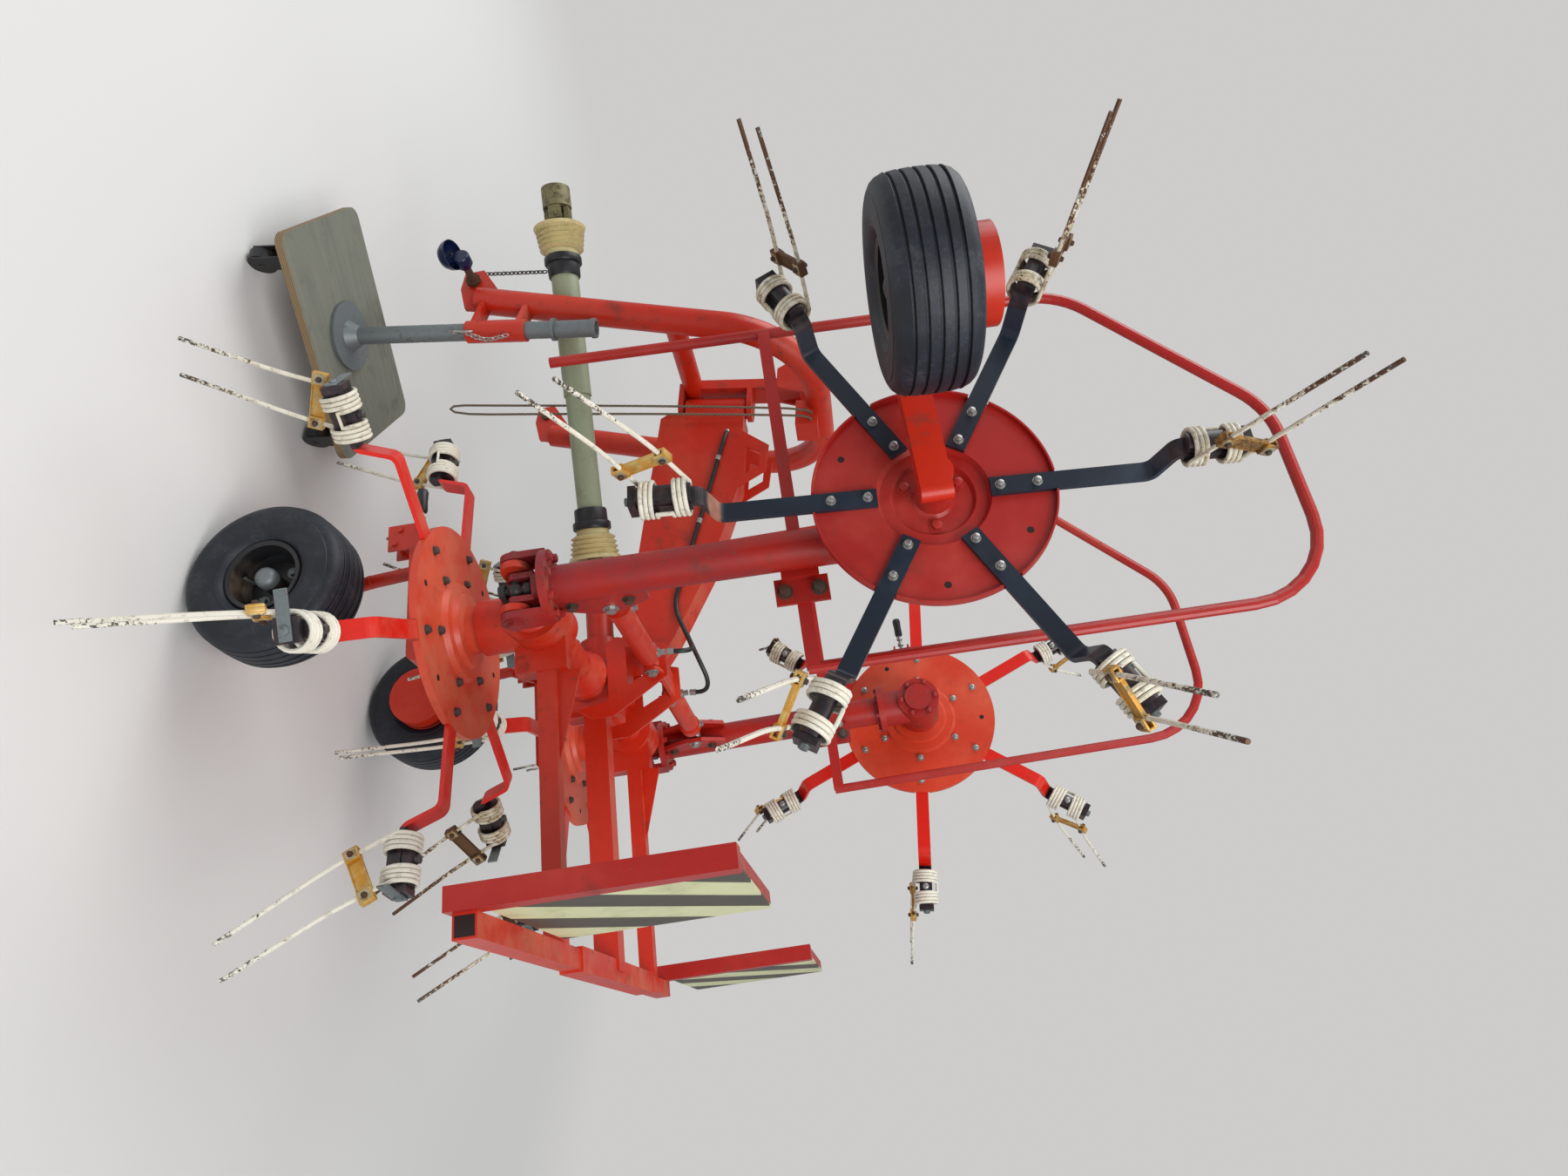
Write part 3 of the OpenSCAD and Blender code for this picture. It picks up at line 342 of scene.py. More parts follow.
# Finishes
@dataclass(frozen=True)
class Paint:
    """Brushed machine paint, faded in patches, chipped to dark steel and rust.

    With a hub it is a rotor arm's paint: dark towards the arms' ends and, with bend at 1, pale at the
    bend of one arm, partly worn paint and partly a painted highlight.
    """
    name: str
    colour: Colour
    faded: Colour
    fade: float = 0.45
    chips: float = 0.30
    grime: float = 0.35
    rough: float = 0.36
    hub: Matrix | None = None
    bend: float = 0.0

    def material(self) -> bpy.types.Material:
        """Builds the paint."""
        g = Graph(self.name)
        broad = g.noise(3.1, 4, 0.6)
        fine = g.noise(42, 5, 0.65)
        speck = g.noise(160, 3, 0.6, shift=(3, 1, 2))
        patch = broad.step(0.62 - self.fade * 0.4, 0.72)
        colour = g.mix(patch * self.fade, self.colour, self.faded)
        colour = g.mix((fine - 0.5) * 0.5 + 0.1, colour, darker(self.colour, 0.55))
        dirt = g.noise(9, 6, 0.7, shift=(1, 4, 0)).step(0.56, 0.72) * self.grime
        colour = g.mix(dirt, colour, srgb(70, 42, 30))
        dust = g.upward().step(0.45, 0.95) * g.noise(14, 4, 0.6).step(0.35, 0.7) * 0.22
        colour = g.mix(dust, colour, srgb(178, 148, 118))
        edge = 0.735 - self.chips * 0.12
        chip = (fine * 0.55 + speck * 0.3 + broad * 0.2).step(edge - 0.045, edge - 0.03)
        colour = g.mix(chip, colour, g.mix(speck.step(0.45, 0.6), srgb(58, 40, 34), srgb(112, 66, 40)))
        if self.hub is not None:
            x, y, _ = g.axes(self.hub)
            reach = x * x + y * y
            # Pale copper spot at the bend of one arm: partly worn paint, partly a painted highlight.
            ring = reach.step(0.433 ** 2, 0.440 ** 2) - reach.step(0.452 ** 2, 0.458 ** 2)
            worn_and_highlight = ring * (x.step(0.36, 0.40) * self.bend)
            colour = g.mix(worn_and_highlight * broad.step(0.3, 0.5), colour, srgb(206, 140, 112))
            dark_from = 0.470 - self.bend * 0.014
            dark_end = reach.step(dark_from ** 2, (dark_from + 0.003) ** 2)
            colour = g.mix(dark_end, colour, g.mix(fine.step(0.4, 0.7), srgb(28, 24, 28), srgb(62, 44, 48)))
        rough = self.rough + patch * 0.16 + dust * 0.5 + chip * 0.3 + dirt * 0.3
        return g.finish(colour, rough, 0.0, fine * 0.3 + speck * 0.25 - chip * 0.7, 0.0005, 0.04)


@dataclass(frozen=True)
class Metal:
    """Plated or bare metal with stains and rust in patches."""
    name: str
    colour: Colour
    stain: Colour
    rust: float = 0.3
    rough: float = 0.42
    metal: float = 0.85

    def material(self) -> bpy.types.Material:
        """Builds the metal."""
        g = Graph(self.name)
        cloud = g.noise(26, 5, 0.65)
        fine = g.noise(210, 3, 0.6)
        stain = (cloud * 0.75 + fine * 0.25).step(0.66 - self.rust * 0.35, 0.74 - self.rust * 0.25)
        colour = g.mix(stain, g.mix(fine, self.colour, darker(self.colour, 0.7)), self.stain)
        return g.finish(colour, self.rough + stain * 0.3 + fine * 0.1, (1 - stain * 0.7) * self.metal,
                        fine * 0.5 + stain * 0.5, 0.0004)


@dataclass(frozen=True)
class Wire:
    """Spring wire with white paint on its coils that wears off towards the tips."""
    name: str = "tine_wire"
    paint: Colour = srgb(226, 222, 208)
    aged: Colour = srgb(176, 158, 118)
    steel: Colour = srgb(84, 80, 76)
    rust: Colour = srgb(92, 62, 42)

    def material(self) -> bpy.types.Material:
        """Builds the wire's finish from its wear and age attributes."""
        g = Graph(self.name)
        wear, age = g.attribute("wear"), g.attribute("age")
        cloud = g.noise(34, 4, 0.6)
        fine = g.noise(150, 4, 0.7, shift=(2, 0, 5))
        paint = g.mix(age * 0.9 * cloud.step(0.3, 0.6), self.paint, self.aged)
        bare = (fine * 0.6 + cloud * 0.25 + wear * 0.2 + age * 0.16).step(0.625, 0.65)
        steel = g.mix((cloud + age * 0.5).step(0.62, 0.85), self.steel, self.rust)
        dirt = g.noise(70, 3, 0.6, shift=(7, 0, 1)).step(0.52, 0.7) * (0.25 + age * 0.4)
        colour = g.mix(bare, g.mix(dirt, paint, srgb(96, 78, 58)), steel)
        return g.finish(colour, 0.42 + cloud * 0.2, bare * 0.45, fine * 0.5 - bare * 0.6, 0.0006)


@dataclass(frozen=True)
class Zinc:
    """Yellow passivated clamps that brown with age."""
    name: str = "clamp_zinc"
    fresh: Colour = srgb(198, 142, 48)
    pale: Colour = srgb(206, 176, 110)
    brown: Colour = srgb(92, 62, 36)

    def material(self) -> bpy.types.Material:
        """Builds the plating."""
        g = Graph(self.name)
        age = g.attribute("age")
        cloud = g.noise(38, 5, 0.65)
        fine = g.noise(190, 3, 0.6)
        colour = g.mix(cloud.step(0.4, 0.66), self.fresh, self.pale)
        brown = (cloud * 0.5 + fine * 0.2 + age * 0.62).step(0.56, 0.76)
        colour = g.mix(brown, colour, self.brown)
        return g.finish(colour, 0.45 + brown * 0.25, 0.35 - brown * 0.2, fine, 0.0003)


@dataclass(frozen=True)
class Rubber:
    """Blue-black tyre rubber, greyed and dusty in patches."""
    name: str = "tyre_rubber"
    colour: Colour = srgb(14, 20, 30)
    worn: Colour = srgb(36, 46, 60)
    dust: Colour = srgb(112, 104, 92)

    def material(self) -> bpy.types.Material:
        """Builds the rubber."""
        g = Graph(self.name)
        cloud = g.noise(11, 5, 0.6)
        fine = g.noise(120, 4, 0.7)
        colour = g.mix(cloud.step(0.35, 0.75) * 0.6, self.colour, self.worn)
        dust = (fine * 0.5 + cloud * 0.5).step(0.5, 0.75) * 0.3
        return g.finish(g.mix(dust, colour, self.dust), 0.55 + dust * 0.5, 0.0, fine, 0.0008)


@dataclass(frozen=True)
class Plastic:
    """Moulded plastic, scuffed and dusty."""
    name: str
    colour: Colour
    dirt: Colour = srgb(96, 90, 70)
    soil: float = 0.35
    rough: float = 0.42

    def material(self) -> bpy.types.Material:
        """Builds the plastic."""
        g = Graph(self.name)
        cloud = g.noise(13, 5, 0.65)
        fine = g.noise(95, 4, 0.65)
        soil = (cloud * 0.6 + fine * 0.4).step(0.48, 0.7) * self.soil
        colour = g.mix(soil, g.mix(cloud * 0.35, self.colour, darker(self.colour, 0.7)), self.dirt)
        return g.finish(colour, self.rough + soil * 0.4, 0.0, fine, 0.0004)


@dataclass(frozen=True)
class Board:
    """Painted and scuffed plywood."""
    name: str = "board_plywood"
    turn: float = -35
    ply: float = 0.0055

    def material(self) -> bpy.types.Material:
        """Builds the board, with its grain along its length and its plies at the edges."""
        g = Graph(self.name)
        along, across, height = g.axes(spin("Z", self.turn))
        drawn = g.signal("ShaderNodeCombineXYZ", {}, {0: along * 2.2, 1: across * 34, 2: height * 30})
        grain = g.signal("ShaderNodeTexNoise", {}, {
            "Vector": drawn, "Scale": 2.0, "Detail": 5.0, "Roughness": 0.6})
        cloud = g.noise(7, 5, 0.65)
        colour = g.mix(grain, srgb(92, 98, 90), srgb(128, 128, 114))
        colour = g.mix(cloud.step(0.5, 0.7) * 0.5, colour, srgb(74, 72, 62))
        side = g.upward().step(0.6, 0.3)
        plies = ((height % self.ply) / self.ply).step(0.45, 0.55)
        colour = g.mix(side * 0.8, colour, g.mix(plies, srgb(150, 122, 84), srgb(108, 84, 58)))
        return g.finish(colour, 0.72 + cloud * 0.15, 0.0, grain, 0.0006)


@dataclass(frozen=True)
class Stripes:
    """Cream and grey-brown slanted stripes of a rear panel."""
    name: str = "panel_stripes"
    period: float = 0.28

    def material(self) -> bpy.types.Material:
        """Builds the stripes in the machine's own frame."""
        g = Graph(self.name)
        x, _, z = g.axes(STANCE.machine)
        wave = ((x - z + 4.05) % self.period) / self.period
        dark = wave.step(0.492, 0.508) * (1 - wave.step(0.992, 1.0))
        cloud = g.noise(12, 5, 0.65)
        fine = g.noise(70, 4, 0.7)
        cream = g.mix(cloud.step(0.4, 0.7) * 0.6, srgb(208, 210, 166), srgb(178, 178, 138))
        brown = g.mix(cloud, srgb(84, 78, 66), srgb(60, 58, 52))
        colour = g.mix(dark, cream, brown)
        soil = (fine * 0.5 + cloud * 0.5).step(0.55, 0.72) * 0.4
        return g.finish(g.mix(soil, colour, srgb(98, 88, 68)), 0.5 + soil * 0.4, 0.0, fine, 0.0003)


@dataclass(frozen=True)
class Twine:
    """Twisted rope fibre, dusty, with painted shade in the valleys between its strands."""
    name: str = "rope_fibre"
    turns: float = 260.0
    strands: float = 3.0

    def material(self) -> bpy.types.Material:
        """Builds the rope's lay from its UV map, with turns along it."""
        g = Graph(self.name)
        along, around, _ = g.split(g.signal("ShaderNodeTexCoord", {}, {}, "UV"))
        lay = (along * self.turns + around * self.strands) % 1.0
        ridge_and_shade = lay.step(0.0, 0.5) - lay.step(0.5, 1.0)
        cloud = g.noise(40, 4, 0.6)
        # The valleys between the strands are darker: painted shade; the same ridge also drives the bump.
        colour = g.mix(ridge_and_shade, srgb(84, 74, 60), g.mix(cloud, srgb(150, 138, 116), srgb(116, 104, 86)))
        return g.finish(colour, 0.85, 0.0, ridge_and_shade, 0.0009)


class Finishes:
    """Every finish of the machine, built once."""

    def __init__(self) -> None:
        """Builds the materials."""
        orange, crimson, faded = srgb(196, 38, 12), srgb(166, 28, 22), srgb(206, 82, 50)
        self.frame = Paint("frame_paint", orange, faded, 0.35, 0.4, 0.55).material()
        self.boom = Paint("boom_paint", srgb(176, 30, 12), srgb(108, 34, 48), 0.75, 0.6, 0.5).material()
        self.disc = Paint("disc_paint", srgb(206, 60, 32), srgb(220, 112, 78), 0.6, 0.22, 0.25).material()
        self.near_disc = Paint("near_disc_paint", crimson, srgb(196, 74, 62), 0.5, 0.25, 0.3).material()
        red = (srgb(214, 30, 16), srgb(206, 66, 44), 0.3, 0.22, 0.2, 0.3)
        navy = (srgb(20, 30, 44), srgb(44, 60, 78), 0.5, 0.2, 0.15, 0.34)
        self.arms: dict[Rotor, bpy.types.Material] = {}
        for rotor in Rotor:
            look, bend = (navy, 1.0) if rotor is Rotor.OUTER_LEFT else (red, 0.0)
            name, hub = f"arm_paint_{rotor.value}", STANCE.spinning(rotor)
            self.arms[rotor] = Paint(name, *look, hub, bend).material()
        self.crimson = Paint("post_paint", crimson, srgb(190, 70, 54), 0.4, 0.3).material()
        self.black = Paint("black_paint", srgb(26, 27, 30), srgb(60, 60, 62), 0.4, 0.35, 0.3, 0.4).material()
        self.rust_steel = Metal("dark_steel", srgb(92, 84, 76), srgb(84, 52, 34), 0.7, 0.5, 0.5).material()
        self.old_bolt = Metal("old_bolt_steel", srgb(112, 112, 110), srgb(84, 66, 54), 0.4, 0.42).material()
        self.plate = Metal("clamp_plate_zinc", srgb(196, 186, 156),
                           srgb(140, 104, 52), 0.6, 0.36, 0.6).material()
        self.yoke = Metal("yoke_steel", srgb(132, 124, 88), srgb(66, 58, 42), 0.5, 0.5, 0.3).material()
        self.bolt = Metal("bolt_zinc", srgb(186, 186, 182), srgb(104, 92, 76), 0.3, 0.34).material()
        self.bright = Metal("bright_steel", srgb(208, 208, 205),
                            srgb(140, 132, 120), 0.12, 0.2, 1.0).material()
        self.galvanised = Metal("galvanised_steel", srgb(136, 144, 146),
                                srgb(98, 94, 86), 0.35, 0.5, 0.7).material()
        self.wire = Wire().material()
        self.zinc = Zinc().material()
        self.rubber = Rubber().material()
        self.guard = Plastic("guard_tube_plastic", srgb(146, 156, 128), srgb(104, 104, 80)).material()
        self.cone = Plastic("cone_plastic", srgb(206, 192, 138), srgb(108, 94, 58), 0.45).material()
        self.black_plastic = Plastic("black_plastic", srgb(26, 28, 32), srgb(84, 80, 72), 0.3).material()
        self.blue = Plastic("cap_blue", srgb(16, 28, 66), srgb(60, 66, 84), 0.2, 0.25).material()
        self.board = Board().material()
        self.stripes = Stripes().material()
        self.rope = Twine().material()
        # Flat dark colour for the spare holes and open tube ends: painted shade.
        self.hole_shade = Plastic("hole_shadow", srgb(34, 14, 12), srgb(30, 16, 14), 0.2, 0.8).material()


class Shop:
    """Shapes that several sub-assemblies use, each added to a bmesh under construction."""

    @staticmethod
    def rod(bm: Shape, start: Point, end: Point, radius: float, sides: int = 20) -> Verts:
        """Adds a closed round bar.

        Args:
            bm: Shape to add it to.
            start, end: Middles of its two ends.
            radius: Its radius.
            sides: Faces around it.

        Returns:
            Its points.
        """
        a, b = Vector(start), Vector(end)
        turn = (b - a).to_track_quat("Z", "Y").to_matrix().to_4x4()
        made = bmesh.ops.create_cone(bm, cap_ends=True, cap_tris=False, segments=sides, radius1=radius,
                                     radius2=radius, depth=(b - a).length, matrix=move(*((a + b) / 2)) @ turn)
        return made["verts"]

    @staticmethod
    def block(bm: Shape, low: Point, high: Point, bevel: float) -> Verts:
        """Adds a box.

        Args:
            bm: Shape to add it to.
            low, high: Its lowest and highest corner.
            bevel: Width of the bevel on its edges, or 0 for sharp ones.

        Returns:
            Its points.
        """
        a, b = Vector(low), Vector(high)
        scale = Matrix.Diagonal((*(b - a), 1))
        made = bmesh.ops.create_cube(bm, size=1, matrix=move(*((a + b) / 2)) @ scale)
        edges = {e for v in made["verts"] for e in v.link_edges}
        if bevel > 0:
            done = bmesh.ops.bevel(bm, geom=list(edges), offset=bevel, segments=2, profile=0.5,
                                   affect="EDGES", material=-1)
            kept = {v for v in made["verts"] if v.is_valid}
            return list({v for f in done["faces"] for v in f.verts} | kept)
        return made["verts"]

    @staticmethod
    def turned(bm: Shape, profile: Iterable[Point], segments: int, closed: bool = True) -> Verts:
        """Spins an outline round Z into a closed shell.

        Args:
            bm: Shape to add it to.
            profile: The outline's points, as radius and height.
            segments: Steps of the turn.
            closed: Whether the outline's last point joins its first; without, both lie on the axis.

        Returns:
            Its points.
        """
        points = [bm.verts.new((max(r, 0.0), 0, z)) for r, z in profile]
        edges = [bm.edges.new((points[i], points[i + 1])) for i in range(len(points) - 1)]
        if closed:
            edges.append(bm.edges.new((points[-1], points[0])))
        before = set(bm.verts) - set(points)
        bmesh.ops.spin(bm, geom=points + edges, cent=(0, 0, 0), axis=(0, 0, 1), angle=math.tau,
                       steps=segments, use_merge=True, use_duplicate=False)
        made = [v for v in bm.verts if v not in before]
        bmesh.ops.remove_doubles(bm, verts=made, dist=1e-6)
        return [v for v in bm.verts if v not in before]

    @staticmethod
    def moved(bm: Shape, verts: Iterable[bmesh.types.BMVert], matrix: Matrix) -> None:
        """Takes points into another frame."""
        bmesh.ops.transform(bm, matrix=matrix, verts=list(verts))

    @staticmethod
    def bolt(bm: Shape, matrix: Matrix, across: float, tall: float, washer: float = 1.5) -> None:
        """Adds a hexagon head on a washer.

        Args:
            bm: Shape to add it to.
            matrix: Its frame, with the seat at the origin and the head along +Z.
            across: Width across the head's flats.
            tall: Height of the head.
            washer: The washer's radius as a share of the head's.
        """
        r, seat = across / math.sqrt(3), 0.0018
        verts = Shop.turned(bm, [(0, 0), (r * washer, 0), (r * washer, seat), (0, seat)], 16, False)
        head = bmesh.ops.create_cone(bm, cap_ends=True, segments=6, radius1=r, radius2=r, depth=tall,
                                     matrix=move(0, 0, seat + tall / 2))["verts"]
        cap = bmesh.ops.create_cone(bm, cap_ends=True, segments=12, radius1=r * 0.86, radius2=r * 0.6,
                                    depth=0.0012, matrix=move(0, 0, seat + 0.0006 + tall))["verts"]
        Shop.moved(bm, verts + head + cap, matrix)

    @staticmethod
    def path(name: str, points: Sequence[Point], radius: float, resolution: int) -> bpy.types.Curve:
        """Makes a round curve of one spline.

        Args:
            name: The curve's name.
            points: The points that it follows.
            radius: Its thickness, as a radius.
            resolution: Blender's bevel resolution.

        Returns:
            The curve.
        """
        curve = bpy.data.curves.new(name, "CURVE")
        curve.dimensions = "3D"
        curve.bevel_depth = radius
        curve.bevel_resolution = resolution
        curve.use_fill_caps = True
        line = curve.splines.new("POLY")
        line.points.add(len(points) - 1)
        for spot, point in zip(line.points, points):
            spot.co = (*point, 1)
        return curve

    @staticmethod
    def wire(bm: Shape, points: Sequence[Point], radius: float, sides: int, closed: bool = False) -> Verts:
        """Adds a round wire.

        Args:
            bm: Shape to add it to.
            points: The points that it follows.
            radius: Its radius.
            sides: Faces around it, an even number.
            closed: Whether it is a ring.

        Returns:
            Its points.
        """
        curve = Shop.path("wire_path", points, radius, max(0, (sides - 4) // 2))
        curve.splines[0].use_cyclic_u = closed
        holder = bpy.data.objects.new("wire_path", curve)
        mesh = bpy.data.meshes.new_from_object(holder)
        before = len(bm.verts)
        bm.from_mesh(mesh)
        bm.verts.ensure_lookup_table()
        bpy.data.objects.remove(holder)
        bpy.data.curves.remove(curve)
        bpy.data.meshes.remove(mesh)
        return [bm.verts[i] for i in range(before, len(bm.verts))]

    @staticmethod
    def link(bm: Shape, middle: Vector, index: int) -> None:
        """Adds one upright link of a small chain.

        Args:
            bm: Shape to add it to.
            middle: Middle of the link.
            index: Its number; every second link stands across the others.
        """
        side = Vector((0.0055, 0, 0)) if index % 2 else Vector((0, 0.0055, 0))
        tall = Vector((0, 0, 0.0085))
        turns = (math.tau * i / 12 for i in range(12))
        Shop.wire(bm, [middle + side * math.cos(a) + tall * math.sin(a) for a in turns], 0.0019, 6, True)


def bent(points: Sequence[Point], radius: float, steps: int = 6) -> list[Vector]:
    """Rounds the corners of a route.

    Args:
        points: The route's corners.
        radius: Distance from a corner at which its bend starts.
        steps: Points on each bend.

    Returns:
        The rounded route.
    """
    route = [Vector(points[0])]
    for before, corner, after in zip(points, points[1:], points[2:]):
        a, c, b = Vector(before), Vector(corner), Vector(after)
        start = c + (a - c).normalized() * min(radius, (a - c).length * 0.49)
        end = c + (b - c).normalized() * min(radius, (b - c).length * 0.49)
        for i in range(steps + 1):
            t = i / steps
            route.append((1 - t) ** 2 * start + 2 * t * (1 - t) * c + t ** 2 * end)
    route.append(Vector(points[-1]))
    return route


@dataclass
class Maker:
    """Turns finished bmeshes into pieces that ride on the machine's bodies."""
    finishes: Finishes
    smooth: float = math.radians(38)

    def piece(self, bm: Shape, name: str, body: str, material: bpy.types.Material,
              replaced: Sequence[str] = ()) -> None:
        """Stores a bmesh as a piece.

        Args:
            bm: The piece's shape; it is freed here.
            name: The piece's name.
            body: The body that it rides on.
            material: Its finish.
            replaced: CAD nodes that it stands for.
        """
        bmesh.ops.recalc_face_normals(bm, faces=bm.faces)
        mesh = bpy.data.meshes.new(name)
        bm.to_mesh(mesh)
        bm.free()
        mesh.materials.append(material)
        for face in mesh.polygons:
            face.use_smooth = True
        mesh.set_sharp_from_angle(angle=self.smooth)
        made = bpy.data.objects.new(name, mesh)
        bpy.context.scene.collection.objects.link(made)
        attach(made, body)
        if replaced:
            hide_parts(*replaced)
        log.info("made %s with %d faces", name, len(mesh.polygons))


# Rotors
@dataclass
class RotorSet:
    """Wound tines, clamps and bolts of one rotor; its disc and arms are the CAD's own."""
    rotor: Rotor
    phase: float
    trail: int
    ages: Sequence[float]
    arms: int = 6
    coil_r: float = 0.035
    wire_r: float = 0.00475
    turns: float = 3.5
    pitch: float = 0.0099
    coil_mid: float = 0.5385
    coil_gap: float = 0.066
    spool_z: float = -0.086
    clamp_drop: float = 0.084
    tip_in: tuple[float, float] = (0.6712, 0.4195)
    tip_out: tuple[float, float] = (0.7436, 0.3917)
    tip_trail: float = 0.058
    kink_drop: float = 0.118
    kink_trail: float = 0.012
    upright: float = 0.86
    wear_from: float = 0.16
    wear_over: float = 0.22
    bolt_circles: Point = (0.1345, 0.210)
    hole_circle: float = 0.207
    hub_circle: float = 0.064
    arm_end: float = 0.6088
    straps: bool = False

    def arm_frame(self, index: int) -> Matrix:
        """The frame of one arm, with X along it."""
        return STANCE.rotor(self.rotor) @ spin("Z", self.phase + index * 360 / self.arms)

    @property
    def starts(self) -> tuple[float, float]:
        """Where the inner and the outer finger leave their coils, along the arm."""
        away = self.coil_gap / 2 + self.turns * self.pitch / 2
        return self.coil_mid - away, self.coil_mid + away

    def lean(self, start: float, tip: tuple[float, float]) -> float:
        """How far a finger leans outward above its kink, per metre down: a share of its whole lean."""
        return (tip[0] - start) / (tip[1] + self.spool_z) * self.upright

    def finger(self, start: float, tip: tuple[float, float]) -> list[Vector]:
        """The route of one finger.

        Args:
            start: Where it leaves its coil, along the arm.
            tip: Its tip, as distance along the arm and depth under the disc.

        Returns:
            The route from the coil down to the tip.
        """
        side = self.trail
        kink = (start + self.kink_drop * self.lean(start, tip), side * (self.coil_r + self.kink_trail),
                self.spool_z - self.kink_drop)
        end = (tip[0], side * self.tip_trail, -tip[1])
        return bent([(start, side * self.coil_r, self.spool_z), kink, end], 0.05, 6)

    def coil(self, start: float, ahead: int) -> list[Vector]:
        """The wound stretch of one coil.

        Args:
            start: Where its finger leaves it, along the arm.
            ahead: 1 where it winds outward along the arm, -1 where it winds inward.

        Returns:
            The route from the finger to the bridge.
        """
        steps = int(self.turns * 22)
        route = []
        for i in range(steps + 1):
            angle = math.tau * self.turns * i / steps
            route.append(Vector((start + ahead * self.pitch * self.turns * i / steps,
                                 self.trail * self.coil_r * math.cos(angle),
                                 self.spool_z + self.coil_r * math.sin(angle))))
        return route

    def tine_route(self) -> list[Vector]:
        """The whole wire of one double tine."""
        start_in, start_out = self.starts
        inward = self.finger(start_in, self.tip_in)[::-1] + self.coil(start_in, 1)[1:]
        outward = self.coil(start_out, -1)[::-1][:-1] + self.finger(start_out, self.tip_out)
        return inward + outward

    def build(self, maker: Maker) -> None:
        """Builds the rotor's pieces.

        Args:
            maker: Takes the finished pieces.
        """
        self.build_tines(maker)
        self.build_clamps(maker)
        self.build_bolts(maker)
        self.build_holes(maker)

    def build_tines(self, maker: Maker) -> None:
        """Winds the six double tines, with their wear stored on their points.

        Args:
            maker: Takes the finished pieces.
        """
        bm = bmesh.new()
        wear = bm.verts.layers.float.new("wear")
        age = bm.verts.layers.float.new("age")
        route = self.tine_route()
        for index in range(self.arms):
            verts = Shop.wire(bm, route, self.wire_r, 8)
            for v in verts:
                v[wear] = min(1.0, max(0.0, (-v.co.z - self.wear_from) / self.wear_over))
                v[age] = self.ages[index]
            Shop.moved(bm, verts, self.arm_frame(index))
        maker.piece(bm, f"wound_tines_{self.rotor.value}", f"rotor_{self.rotor.value}", maker.finishes.wire,
                    [f"tines_{self.rotor.value}"])

    def clamp_frame(self) -> tuple[Matrix, float]:
        """The clamp's own frame at the inner finger and its span to the outer one."""
        start_in, start_out = self.starts
        lean_in, lean_out = self.lean(start_in, self.tip_in), self.lean(start_out, self.tip_out)
        at_in, at_out = start_in + self.clamp_drop * lean_in, start_out + self.clamp_drop * lean_out
        place = move(at_in, self.trail * (self.coil_r + 0.0085), self.spool_z - self.clamp_drop)
        return place @ Matrix.Rotation(-math.atan((lean_in + lean_out) / 2), 4, "Y"), at_out - at_in

    def build_clamps(self, maker: Maker) -> None:
        """Builds the clamps' straps with raised edges, their square end blocks, cover plates and bolts.

        Args:
            maker: Takes the finished pieces.
        """
        bm, bolts, plates = bmesh.new(), bmesh.new(), bmesh.new()
        age = bm.verts.layers.float.new("age")
        frame_in, span = self.clamp_frame()
        half, tall = 0.0135, 0.0155
        for index in range(self.arms):
            here = self.arm_frame(index) @ frame_in
            verts = list(Shop.block(bm, (0.010, -0.002, -0.015), (span - 0.010, 0.002, 0.015), 0.001))
            for z in (-0.0145, 0.0145):
                verts += Shop.block(bm, (0.012, -0.0045, z - 0.0012),
                                    (span - 0.012, 0.0045, z + 0.0012), 0.0006)
            for x in (0.0, span):
                for side in (-1, 1):
                    low, high = sorted((side * 0.0042, side * 0.0088))
                    verts += Shop.block(bm, (x - half, low, -tall), (x + half, high, tall), 0.0012)
                for left, right in ((-half, -0.0085), (0.0085, half)):
                    verts += Shop.block(bm, (x + left, -0.005, -tall), (x + right, 0.005, tall), 0.001)
                for side in (-1, 1):
                    seat = here @ move(x, side * 0.0100, 0) @ spin("X", -side * 90)
                    Shop.bolt(bolts, seat, 0.010, 0.004, 1.1)
                    low, high = sorted((side * 0.0080, side * 0.0100))
                    shape = Shop.block(plates, (x - 0.0105, low, -0.0115), (x + 0.0105, high, 0.0115), 0.0006)
                    Shop.moved(plates, shape, here)
            for v in verts:
                v[age] = self.ages[index]
            Shop.moved(bm, verts, here)
        name = self.rotor.value
        maker.piece(bm, f"tine_clamps_{name}", f"rotor_{name}", maker.finishes.zinc)
        maker.piece(plates, f"clamp_plates_{name}", f"rotor_{name}", maker.finishes.plate)
        maker.piece(bolts, f"clamp_bolts_{name}", f"rotor_{name}", maker.finishes.rust_steel)

    def build_bolts(self, maker: Maker) -> None:
        """Bolts the arms to the disc and the coils' blocks to the arms, and adds the arms' end straps.

        Args:
            maker: Takes the finished pieces.
        """
        bm, dark = bmesh.new(), bmesh.new()
        z = self.spool_z
        for index in range(self.arms):
            arm = self.arm_frame(index)
            for radius in self.bolt_circles:
                Shop.bolt(bm, arm @ move(radius, 0, 0.002), 0.015, 0.008, 1.3)
                Shop.bolt(bm, arm @ move(radius, 0, -0.012) @ spin("X", 180), 0.014, 0.009, 1.3)
            Shop.bolt(bm, arm @ move(self.coil_mid, 0, z + 0.0295), 0.016, 0.008, 1.1)
            Shop.bolt(dark, arm @ move(self.arm_end, 0, z) @ spin("Y", 90), 0.017, 0.007, 1.2)
            if self.straps:
                verts = Shop.block(dark, (0.609, -0.020, z - 0.012), (0.614, 0.074, z + 0.012), 0.001)
                Shop.moved(dark, verts, arm)
        name = self.rotor.value
        metal = maker.finishes.bolt if self.rotor.outer else maker.finishes.old_bolt
        maker.piece(bm, f"disc_bolts_{name}", f"rotor_{name}", metal)
        maker.piece(dark, f"spool_ends_{name}", f"rotor_{name}", maker.finishes.galvanised)

